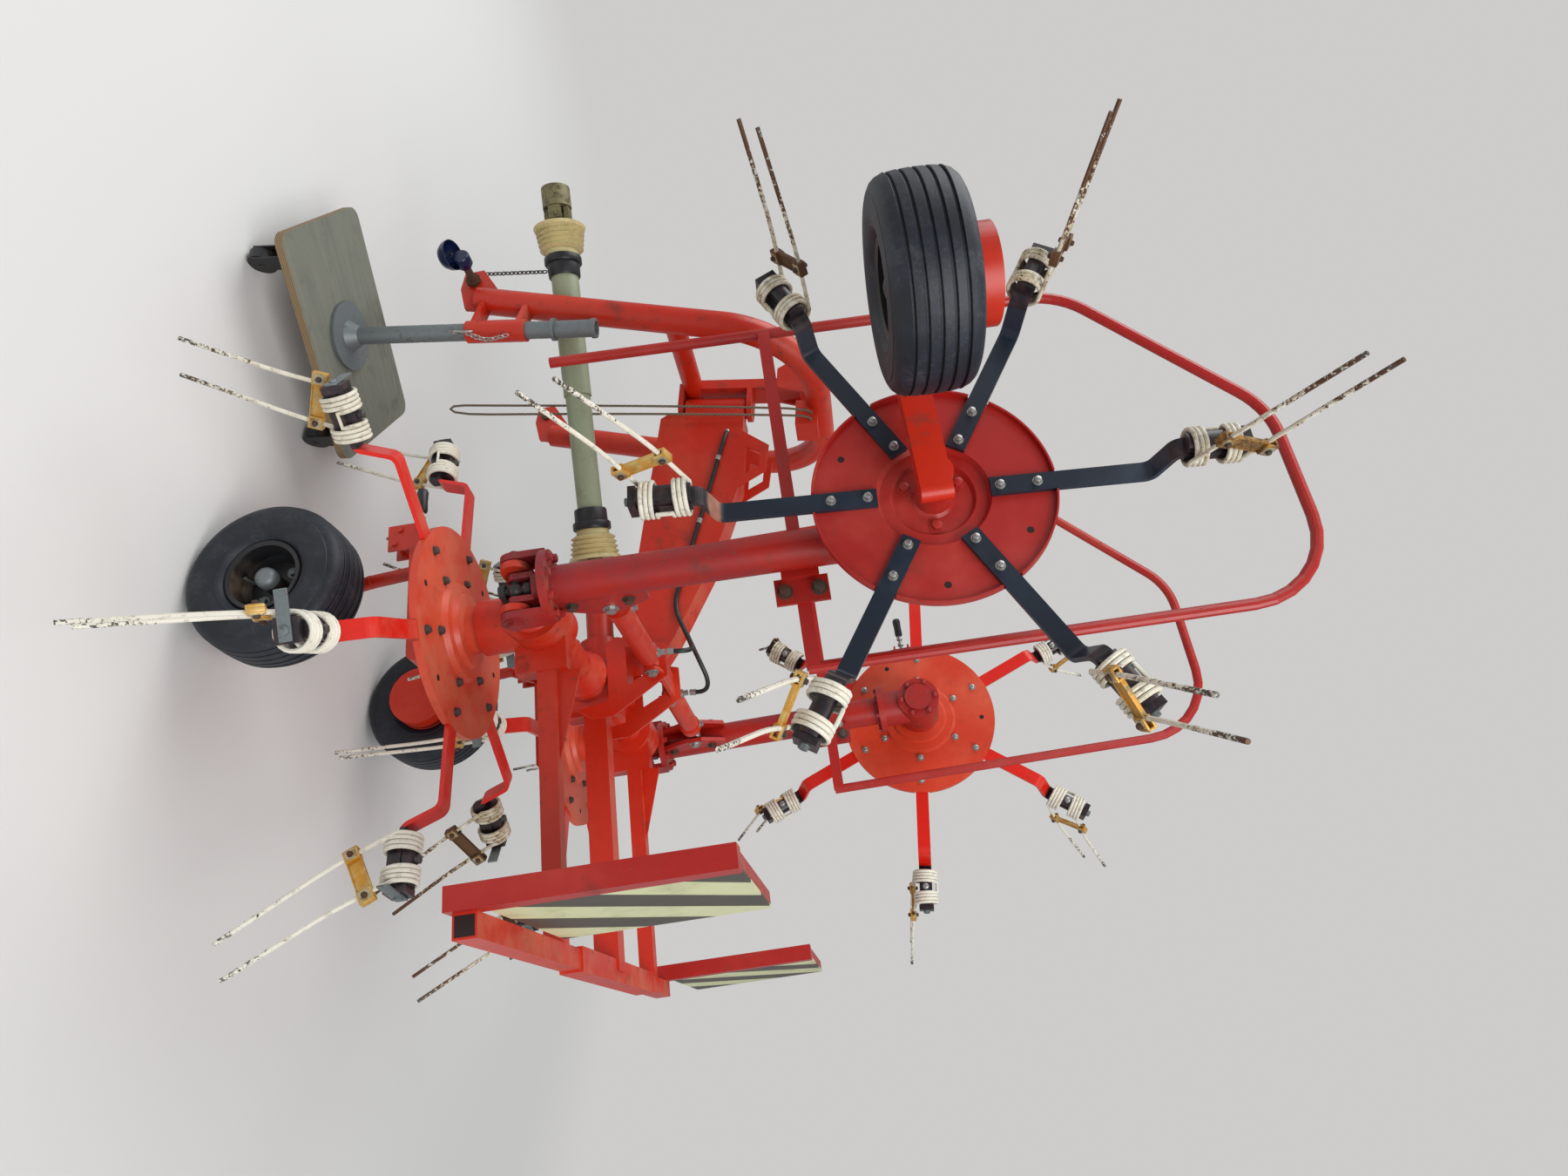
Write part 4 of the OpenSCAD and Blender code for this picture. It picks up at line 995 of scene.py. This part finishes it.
    def build_holes(self, maker: Maker) -> None:
        """Puts dark discs of painted shade in the spare holes between the arms, and the hub's own bolts
        under the disc.

        Args:
            maker: Takes the finished pieces.
        """
        bm, hub = bmesh.new(), bmesh.new()
        r, thin = self.hole_circle, 0.0002
        for index in range(self.arms):
            arm = self.arm_frame(index) @ spin("Z", 30)
            # Thin dark discs on both faces of the disc: painted shade in the spare holes.
            for z in (0.00205, -0.00205) if index % 3 else ():
                verts = Shop.rod(bm, (r, 0, z - thin), (r, 0, z + thin), 0.0075, 16)
                Shop.moved(bm, verts, arm)
            if index % 2 == 0:
                Shop.bolt(hub, arm @ move(self.hub_circle, 0, 0.0215) @ spin("X", 180), 0.019, 0.010)
        name = self.rotor.value
        disc = maker.finishes.near_disc if self.rotor is Rotor.OUTER_LEFT else maker.finishes.disc
        maker.piece(bm, f"disc_hole_shade_{name}", f"rotor_{name}", maker.finishes.hole_shade)
        maker.piece(hub, f"hub_bolts_{name}", f"rotor_{name}", disc)


# Wheels
@dataclass
class Wheel:
    """Ribbed tyre and hub fittings of one wheel."""
    rotor: Rotor
    leg_side: int
    tyre_r: float = 0.195
    half_w: float = 0.0815
    bead_r: float = 0.084
    crown_drop: float = 0.0075
    groove: float = 0.0055
    grooves: Sequence[float] = (0.0, 0.0235, 0.046)
    bolt_circle: float = 0.048
    cap_finish: str = "bolt"

    def tread(self) -> list[tuple[float, float]]:
        """Half of the tyre's outline, from the middle of the tread to the bead."""
        outline: list[tuple[float, float]] = []
        for index, at in enumerate(self.grooves):
            crown = self.tyre_r - 0.0002 - (at / self.half_w) ** 2 * self.crown_drop
            low = 0.0 if index == 0 else at - 0.0028
            if index:
                outline += [(crown, low - 0.0012), (crown - 0.0012, low)]
            outline += [(crown - self.groove, low + 0.0004), (crown - self.groove, at + 0.0024),
                        (crown - 0.0012, at + 0.0028), (crown, at + 0.0040)]
        wall = [(0.1895, 0.056), (0.1865, 0.0635), (0.1795, 0.0715), (0.1700, 0.0765), (0.1640, 0.0772),
                (0.1625, 0.0788), (0.1560, 0.0792), (0.1540, 0.0790), (0.1400, 0.0806), (0.1260, 0.0800),
                (0.1130, 0.0760), (0.1110, 0.0768), (0.1050, 0.0740), (0.0985, 0.0685), (0.0945, 0.0630),
                (0.0905, 0.0585), (0.0850, 0.0575), (self.bead_r, 0.0560)]
        return outline + wall

    def build(self, maker: Maker) -> None:
        """Builds the wheel's pieces.

        Args:
            maker: Takes the finished pieces.
        """
        self.build_tyre(maker)
        self.build_hub(maker)

    def build_tyre(self, maker: Maker) -> None:
        """Spins the tyre with its tread grooves.

        Args:
            maker: Takes the finished pieces.
        """
        half = self.tread()
        outline = half + [(r, -z) for r, z in reversed(half)][:-1]
        bm = bmesh.new()
        Shop.moved(bm, Shop.turned(bm, outline, 72), STANCE.wheel(self.rotor))
        name = self.rotor.value
        maker.piece(bm, f"ribbed_tyre_{name}", f"wheel_{name}", maker.finishes.rubber,
                    [f"tyre_{name}"])

    def build_hub(self, maker: Maker) -> None:
        """Builds the hub cap, the wheel bolts and the valve.

        Args:
            maker: Takes the finished pieces.
        """
        bm = bmesh.new()
        face = STANCE.wheel(self.rotor) @ spin("X", 180 if self.leg_side > 0 else 0)
        cap = [(0.0, 0.036), (0.0225, 0.036), (0.0265, 0.0385), (0.0265, 0.052), (0.0245, 0.060),
               (0.018, 0.067), (0.009, 0.070), (0.0, 0.0705)]
        Shop.moved(bm, Shop.turned(bm, cap, 32, False), face @ move(0, 0, -0.004))
        for index in range(4):
            Shop.bolt(bm, face @ spin("Z", 45 + 90 * index) @ move(self.bolt_circle, 0, -0.008), 0.017, 0.009)
        Shop.moved(bm, Shop.rod(bm, (0.060, 0.02, -0.004), (0.066, 0.02, 0.030), 0.0036, 12), face)
        name = self.rotor.value
        maker.piece(bm, f"hub_fittings_{name}", f"wheel_{name}", getattr(maker.finishes, self.cap_finish))


# Booms
@dataclass
class BoomFittings:
    """Bolts of one boom, its hinge and its gearbox, and bolt heads at both ends of its cylinder."""
    side: int
    flange_top: float = 0.084
    flange_r: float = 0.0665
    plate_face: float = 0.035
    ear_face: float = 0.079
    crossbar_at: float = 0.620
    bar_top: float = 0.057
    gearbox_r: float = 0.066
    collar_at: float = 0.782
    cover_circle: float = 0.054
    plate_bolts: Sequence[Point] = ((0.112, 0.044), (0.238, 0.048))
    rod_lug: Point = (0.190, 0.084)
    cylinder_foot: Point = (0.120, 0.190)

    @staticmethod
    def pair(bm: Shape, base: Matrix, at: Point, across: float, tall: float, washer: float = 1.5) -> None:
        """Adds two bolts that face away from each other across the middle plane.

        Args:
            bm: Shape to add them to.
            base: The frame of the boom or the axle.
            at: Seat of the one on the +Y side.
            across, tall, washer: The bolts' sizes, as Shop.bolt takes them.
        """
        for y in (-at[1], at[1]):
            seat = base @ move(at[0], y, at[2]) @ spin("X", -math.copysign(90, y))
            Shop.bolt(bm, seat, across, tall, washer)

    @staticmethod
    def ring(bm: Shape, base: Matrix, turns: Iterable[Matrix], seat: Matrix, size: Point) -> None:
        """Adds a ring of bolts.

        Args:
            bm: Shape to add them to.
            base: Frame at the ring's middle.
            turns: One turn for each bolt.
            seat: Seat of the bolt that isn't turned.
            size: The bolts' sizes, as Shop.bolt takes them.
        """
        for turn in turns:
            Shop.bolt(bm, base @ turn @ seat, *size)

    def build(self, maker: Maker) -> None:
        """Builds the boom's pieces.

        Args:
            maker: Takes the finished pieces.
        """
        boom, name = STANCE.boom(self.side), side_name(self.side)
        bm, painted, dark, fixed = (bmesh.new() for _ in range(4))
        flange = move(self.flange_top, 0, self.flange_r) @ spin("Y", 90)
        self.ring(painted, boom, (spin("X", 45 * i) for i in range(8)), flange, (0.017, 0.008, 1.15))
        for x, z in self.plate_bolts:
            self.pair(dark, boom, (x, self.plate_face, z), 0.020, 0.009, 1.3)
        for x in (self.crossbar_at - 0.038, self.crossbar_at + 0.038):
            Shop.bolt(dark, boom @ move(x, -0.074, self.bar_top), 0.022, 0.011, 1.3)
            Shop.bolt(dark, boom @ move(x, -0.074, self.bar_top - 0.008) @ spin("X", 180), 0.024, 0.014, 1.3)
        self.pair(painted, boom, (0, self.ear_face, 0), 0.030, 0.010)
        x, z = self.rod_lug
        self.pair(bm, boom, (x, self.plate_face, z), 0.022, 0.009)
        for x in (self.crossbar_at - 0.030, self.crossbar_at + 0.030):
            for y in (-0.040, 0.040):
                Shop.bolt(bm, boom @ move(x, y, self.bar_top), 0.015, 0.007)
        top = boom @ move(STANCE.boom_reach, 0, self.gearbox_r)
        cover = move(self.cover_circle, 0, 0)
        self.ring(painted, top, (spin("Z", 60 * i) for i in range(6)), cover, (0.013, 0.006))
        collar = move(self.collar_at, 0, self.gearbox_r) @ spin("Y", -90)
        self.ring(painted, boom, (spin("X", 30 + 60 * i) for i in range(6)), collar, (0.014, 0.006))
        x, z = self.cylinder_foot
        self.pair(fixed, STANCE.sided(self.side), (x, self.plate_face, z), 0.022, 0.009)
        body = f"boom_{name}"
        maker.piece(bm, f"boom_bolts_{name}", body, maker.finishes.bolt)
        maker.piece(painted, f"boom_painted_bolts_{name}", body, maker.finishes.boom)
        maker.piece(dark, f"boom_dark_bolts_{name}", body, maker.finishes.rust_steel)
        maker.piece(fixed, f"axle_bolts_{name}", "frame", maker.finishes.bolt)


@dataclass
class WheelGrip:
    """Adjusting spindle and black grip ahead of a wheel leg's bracket."""
    rotor: Rotor

    def build(self, maker: Maker) -> None:
        """Builds the spindle and its grip.

        Args:
            maker: Takes the finished pieces.
        """
        inner = (STANCE.inner_across, STANCE.inner_lead)
        across, lead = STANCE.outer_wheel[:2] if self.rotor.outer else inner
        here = STANCE.rotor(self.rotor)
        spindle, grip = bmesh.new(), bmesh.new()
        verts = Shop.rod(spindle, (across, lead + 0.060, -0.102), (across, lead + 0.150, -0.100), 0.006)
        Shop.moved(spindle, verts, here)
        for y in (lead + 0.104, lead + 0.126):
            verts = Shop.rod(spindle, (across, y, -0.101), (across, y + 0.009, -0.101), 0.011, 6)
            Shop.moved(spindle, verts, here)
        profile = [(0, 0), (0.011, 0), (0.013, 0.004), (0.0125, 0.030), (0.014, 0.056), (0.011, 0.064),
                   (0, 0.065)]
        verts = Shop.turned(grip, profile, 24, False)
        Shop.moved(grip, verts, here @ move(across, lead + 0.142, -0.100) @ spin("X", -90))
        name, body = self.rotor.value, self.rotor.carrier
        maker.piece(spindle, f"leg_spindle_{name}", body, maker.finishes.bolt)
        maker.piece(grip, f"leg_grip_{name}", body, maker.finishes.black_plastic)


@dataclass
class PressureLine:
    """Hydraulic line of one fold cylinder, held along the main beam, and the cylinder's ports."""
    side: int
    radius: float = 0.0065
    corners: Sequence[Point] = (
        (44, 792, 1190), (57, 764, 1186), (57, 520, 1140), (57, 215, 1080), (80, 110, 1135), (125, 62, 1160),
        (158, 43, 1146), (160, 40.5, 1100))
    clips: Sequence[Point] = ((690, 1171), (480, 1132), (300, 1097))
    port_spots: Sequence[Point] = ((0.160, 0.020), (0.448, 0.014))

    def build(self, maker: Maker) -> None:
        """Builds the line, its crimped ends, its clips and the ports that it serves.

        Args:
            maker: Takes the finished pieces.
        """
        route = bent([STANCE.floor((self.side * x, y, z)) for x, y, z in self.corners], 0.05, 6)
        name = side_name(self.side)
        line, steel, ports = bmesh.new(), bmesh.new(), bmesh.new()
        Shop.wire(line, route, self.radius, 12)
        for a, b in ((route[-1], route[-1].lerp(route[-2], 0.75)), (route[0], route[0].lerp(route[1], 0.5))):
            Shop.rod(steel, a, b, 0.0088, 12)
        for y, z in self.clips:
            at, ahead = STANCE.floor((self.side * 57, y, z)), Vector((0, 0.0075, 0.0014))
            Shop.rod(steel, at - ahead, at + ahead, 0.0085, 12)
        base = STANCE.sided(self.side)
        for x, tall in self.port_spots:
            Shop.moved(ports, Shop.rod(ports, (x, 0, 0.210), (x, 0, 0.216 + tall), 0.0085, 6), base)
            Shop.moved(ports, Shop.rod(ports, (x, 0, 0.206), (x, 0, 0.222), 0.0125, 16), base)
        maker.piece(line, f"pressure_line_{name}", "frame", maker.finishes.black_plastic)
        maker.piece(steel, f"line_fittings_{name}", "frame", maker.finishes.bolt)
        maker.piece(ports, f"cylinder_ports_{name}", f"cylinder_{name}", maker.finishes.bolt)


@dataclass
class StandFittings:
    """Head of the stand leg's tube, the linchpin under its sleeve and the pin's chain."""
    at: tuple[float, float] = (-392, 906)
    tube_top: float = 753
    head: float = 870
    bore_r: float = 0.0195
    tube_r: float = 0.0240
    # the headstock's upright leaves 29 mm beside the lip when the leg is lifted
    lip_r: float = 0.0275

    def build(self, maker: Maker) -> None:
        """Builds the head, the pin with its spring ring, and the chain.

        Args:
            maker: Takes the finished pieces.
        """
        x, y = self.at
        head, pin, chain = bmesh.new(), bmesh.new(), bmesh.new()
        rise = (self.head - self.tube_top) / 1000
        profile = [(self.bore_r, 0.0), (self.tube_r, 0.0), (self.tube_r, rise - 0.013),
                   (self.lip_r, rise - 0.012), (self.lip_r, rise - 0.001), (self.bore_r, rise)]
        Shop.moved(head, Shop.turned(head, profile, 40), move(*STANCE.floor((x, y, self.tube_top))))
        Shop.rod(pin, STANCE.floor((x - 46, y - 36, 484)), STANCE.floor((x + 44, y + 32, 490)), 0.0055, 12)
        ring = []
        for angle in (math.tau * i / 28 for i in range(28)):
            swing = 20 * math.sin(angle)
            ring.append(STANCE.floor((x - 44 - swing * 0.8, y - 34 - swing * 0.6,
                                      500 + 36 * math.cos(angle))))
        Shop.wire(pin, ring, 0.0024, 8, True)
        for index in range(9):
            sway = math.sin(index / 8 * math.pi) * 16
            Shop.link(chain, STANCE.floor((x - 42 + index * 1.5, y - 40 - sway, 526 + index * 12.5)), index)
        maker.piece(head, "stand_leg_head", "stand", maker.finishes.galvanised)
        maker.piece(pin, "stand_pin", "stand", maker.finishes.bolt)
        maker.piece(chain, "stand_pin_chain", "headstock", maker.finishes.bolt)


@dataclass
class ShaftCollars:
    """Black two-step collars between the guard tube and its cones, and the guard's chain."""
    start: Point = (0, 0.352, 0.030)
    end: Point = (-372, 1305, 702)
    near_at: float = 0.118
    far_inset: float = 0.096

    def build(self, maker: Maker) -> None:
        """Builds both collars and the chain.

        Args:
            maker: Takes the finished pieces.
        """
        a, b = STANCE.machine @ Vector(self.start), STANCE.floor(self.end)
        here = move(*a) @ (b - a).to_track_quat("Z", "Y").to_matrix().to_4x4()
        far_at = (b - a).length - self.far_inset
        bm, chain = bmesh.new(), bmesh.new()
        for at, turn, tube in ((self.near_at, 0, 0.036), (far_at, 180, 0.040)):
            bore = tube - 0.001
            profile = [(bore, 0.001), (0.0530, 0.001), (0.0545, 0.004), (0.0545, 0.020), (0.0525, 0.023),
                       (0.0475, 0.024), (0.0465, 0.058), (0.0445, 0.062), (bore, 0.062)]
            Shop.moved(bm, Shop.turned(bm, profile, 48), here @ move(0, 0, at) @ spin("X", turn))
        maker.piece(bm, "shaft_collars", "shaft", maker.finishes.black_plastic)
        hook = here @ Vector((0, 0, far_at - 0.040)) - Vector((0, 0, 0.060))
        for index in range(17):
            Shop.link(chain, hook - Vector((0, 0, 0.0125 * index)), index)
        maker.piece(chain, "shaft_chain", "shaft", maker.finishes.old_bolt)


class Extras:
    """Cap on the near hitch pin, and dark sheets of painted shade in the open ends of the rear frame's bar.
    """
    cap_at: Point = (-452, 1128, 462)
    bowl_at: Point = (-446, 1130, 404)
    bar_ends: Point = (-0.9203, 0.6103)

    @staticmethod
    def build(maker: Maker) -> None:
        """Builds both.

        Args:
            maker: Takes the finished pieces.
        """
        cap = bmesh.new()
        body = [(0.0, 0.0), (0.021, 0.0), (0.024, 0.004), (0.024, 0.034), (0.020, 0.040), (0.0, 0.040)]
        at = move(*STANCE.floor(Extras.cap_at)) @ spin("Y", 90) @ move(0, 0, -0.004)
        Shop.moved(cap, Shop.turned(cap, body, 32, False), at)
        bowl = [(0.0, 0.0), (0.018, 0.002), (0.033, 0.011), (0.041, 0.026), (0.043, 0.040), (0.0405, 0.040),
                (0.0385, 0.027), (0.031, 0.0135), (0.017, 0.005), (0.0, 0.003)]
        at = move(*STANCE.floor(Extras.bowl_at)) @ spin("Y", -18)
        Shop.moved(cap, Shop.turned(cap, bowl, 40, False), at)
        Shop.rod(cap, STANCE.floor((-440, 1129, 405)), STANCE.floor((-433, 1128, 458)), 0.011, 16)
        maker.piece(cap, "hitch_pin_cap", "headstock", maker.finishes.blue)
        # Thin dark sheets in the bar's open ends: painted shade inside the tube.
        ends = bmesh.new()
        for x in Extras.bar_ends:
            verts = Shop.block(ends, (x - 0.0003, -0.760, -0.007), (x + 0.0003, -0.726, 0.027), 0.0)
            Shop.moved(ends, verts, STANCE.machine)
        maker.piece(ends, "bar_opening_shade", "frame", maker.finishes.hole_shade)


class Dresser:
    """Gives each CAD node that stays its finish."""

    def __init__(self, finishes: Finishes) -> None:
        """Keeps the finishes."""
        self.finishes = finishes

    def finish_for(self, node: str) -> bpy.types.Material:
        """The finish of one CAD node.

        Args:
            node: The node's name; the first row whose text it starts with counts.

        Returns:
            Its finish, the frame's where no row fits.
        """
        f = self.finishes
        if node.startswith("arms_"):
            return f.arms[Rotor(node.removeprefix("arms_"))]
        table: list[tuple[str, bpy.types.Material]] = [
            ("disc_outer_left", f.near_disc), ("disc_", f.disc), ("tines_", f.wire), ("tyre_", f.rubber),
            ("rim_inner_right", f.crimson), ("rim_", f.black), ("boom_", f.boom), ("guard_hoop_", f.crimson),
            ("drive_joint_", f.black), ("panel_post_", f.crimson), ("panel_", f.stripes),
            ("hitch_pin_", f.rust_steel), ("stand_leg", f.galvanised), ("dolly_board", f.board),
            ("dolly_casters", f.black), ("shaft_guard", f.guard), ("shaft_cones", f.cone),
            ("shaft_yokes", f.yoke), ("cylinder_rod_", f.bright), ("pull_rope", f.rope)]
        return next((material for start, material in table if node.startswith(start)), f.frame)

    def dress(self) -> None:
        """Assigns the finishes."""
        for name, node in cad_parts.items():
            node.data.materials.clear()
            node.data.materials.append(self.finish_for(name))


@dataclass
class Rope:
    """The thin rope that hangs double from the headstock, along the CAD's own route."""
    diameter: float = 0.007
    route: Sequence[Point] = (
        (-46, 822, 1440), (-55, 822, 1440), (-64, 823, 1432), (-68, 825, 1412), (-69, 828, 1350),
        (-70, 832, 1240), (-72, 836, 1100), (-74, 840, 940), (-76, 843, 780), (-78, 846, 600),
        (-79, 848, 460), (-81, 850, 390), (-84, 856, 345), (-86, 866, 330), (-85, 877, 338),
        (-83, 881, 370), (-81, 880, 440), (-80, 877, 560), (-78, 873, 740), (-76, 868, 920),
        (-74, 862, 1100), (-72, 856, 1260), (-70, 851, 1370), (-67, 847, 1418), (-63, 846, 1433),
        (-55, 846, 1440), (-46, 846, 1440))

    def build(self, maker: Maker) -> None:
        """Args:
            maker: Takes the finished pieces.
        """
        points = [STANCE.floor(p) for p in self.route]
        curve = Shop.path("hanging_rope", points, self.diameter / 2, 3)
        curve.materials.append(maker.finishes.rope)
        rope = bpy.data.objects.new("hanging_rope", curve)
        bpy.context.scene.collection.objects.link(rope)
        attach(rope, "headstock")
        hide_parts("pull_rope")


@dataclass
class Studio:
    """Camera, floor and soft lights."""
    eye: Point = (-2.5605, -1.2090, 1.685)
    yaw: float = 25.0792
    pitch: float = -6.2223
    roll: float = -0.2533
    lens: float = 23.31
    floor_ends: float = 4.0
    floor_fades: float = 1.9
    room_light: float = 0.45
    aim: Point = (0, 0, 1.1)
    lamps: Sequence[tuple[str, Point, float, float]] = (
        ("key", (-3.6, -3.8, 5.2), 4.5, 370), ("fill", (-1.8, 4.9, 4.4), 5.0, 270))

    def build(self) -> None:
        """Builds the stage."""
        scene = bpy.context.scene
        scene.view_settings.view_transform = "Standard"
        self.build_camera(scene)
        self.build_floor()
        self.build_lights(scene)

    def build_camera(self, scene: bpy.types.Scene) -> None:
        """Stands the camera where the photograph was taken, turned on its side as the picture is.

        Args:
            scene: The scene to build in.
        """
        yaw, pitch, roll = (math.radians(a) for a in (self.yaw, self.pitch, self.roll))
        ahead = Vector((math.cos(yaw) * math.cos(pitch), math.sin(yaw) * math.cos(pitch), math.sin(pitch)))
        right = Vector((math.sin(yaw), -math.cos(yaw), 0))
        up = right.cross(ahead)
        right_rolled = right * math.cos(roll) + up * math.sin(roll)
        up_rolled = -right * math.sin(roll) + up * math.cos(roll)
        turn = Matrix((up_rolled, -right_rolled, -ahead)).transposed().to_4x4()
        data = bpy.data.cameras.new("camera")
        data.lens = self.lens
        data.sensor_width = 36
        data.sensor_fit = "HORIZONTAL"
        data.clip_end = 100
        camera = bpy.data.objects.new("camera", data)
        camera.matrix_world = move(*self.eye) @ turn
        scene.collection.objects.link(camera)
        scene.camera = camera

    def build_floor(self) -> None:
        """Lays the pale floor, which fades out around the machine."""
        bm = bmesh.new()
        bmesh.ops.create_grid(bm, x_segments=1, y_segments=1, size=30)
        mesh = bpy.data.meshes.new("floor")
        bm.to_mesh(mesh)
        bm.free()
        g = Graph("floor_pale")
        x, y, _ = g.axes()
        solid = (x * x + y * y).step(self.floor_ends ** 2, self.floor_fades ** 2)
        g.tree.links.new(solid.socket, g.shader.inputs["Alpha"])
        mesh.materials.append(g.finish(srgb(216, 216, 214), 0.9))
        floor = bpy.data.objects.new("floor", mesh)
        bpy.context.scene.collection.objects.link(floor)

    def build_lights(self, scene: bpy.types.Scene) -> None:
        """Hangs two large soft lamps and lights the room evenly.

        Args:
            scene: The scene to build in.
        """
        world = bpy.data.worlds.new("studio")
        world.use_nodes = True
        tree = world.node_tree
        light, seen = tree.nodes["Background"], tree.nodes.new("ShaderNodeBackground")
        light.inputs[0].default_value = srgb(226, 228, 230)
        light.inputs[1].default_value = self.room_light
        seen.inputs[0].default_value = srgb(205, 204, 203)
        ray, mix = tree.nodes.new("ShaderNodeLightPath"), tree.nodes.new("ShaderNodeMixShader")
        tree.links.new(ray.outputs["Is Camera Ray"], mix.inputs[0])
        tree.links.new(light.outputs[0], mix.inputs[1])
        tree.links.new(seen.outputs[0], mix.inputs[2])
        tree.links.new(mix.outputs[0], tree.nodes["World Output"].inputs[0])
        scene.world = world
        for name, place, size, power in self.lamps:
            data = bpy.data.lights.new(name, "AREA")
            data.size = size
            data.energy = power
            lamp = bpy.data.objects.new(name, data)
            ahead = Vector(self.aim) - Vector(place)
            lamp.matrix_world = move(*place) @ ahead.to_track_quat("-Z", "Y").to_matrix().to_4x4()
            scene.collection.objects.link(lamp)


def main() -> None:
    """Builds the stage and dresses the machine, sub-assembly by sub-assembly."""
    logging.basicConfig(level=logging.INFO, format="%(name)s: %(message)s")
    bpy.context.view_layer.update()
    Studio().build()
    maker = Maker(Finishes())
    Rope().build(maker)
    Dresser(maker.finishes).dress()
    rotors = (
        RotorSet(Rotor.INNER_LEFT, 38.7, 1, (0.35, 0.1, 0.15, 0.9, 0.08, 0.1), straps=True),
        RotorSet(Rotor.INNER_RIGHT, 9, 1, (0.2, 0.5, 0.3, 0.1, 0.6, 0.3), straps=True),
        RotorSet(Rotor.OUTER_LEFT, -3.1, -1, (0.55, 0.85, 0.75, 0.2, 0.12, 0.4)),
        RotorSet(Rotor.OUTER_RIGHT, 21.6, -1, (0.1, 0.2, 0.7, 0.3, 0.1, 0.2)))
    for rotor in rotors:
        rotor.build(maker)
    for rotor, side, cap in ((Rotor.INNER_LEFT, -1, "galvanised"), (Rotor.INNER_RIGHT, -1, "galvanised"),
                             (Rotor.OUTER_LEFT, 1, "black"), (Rotor.OUTER_RIGHT, 1, "black")):
        Wheel(rotor, side, cap_finish=cap).build(maker)
    for side in (-1, 1):
        BoomFittings(side).build(maker)
        PressureLine(side).build(maker)
    for rotor in Rotor:
        WheelGrip(rotor).build(maker)
    ShaftCollars().build(maker)
    StandFittings().build(maker)
    Extras.build(maker)


if __name__ == "__main__":
    main()
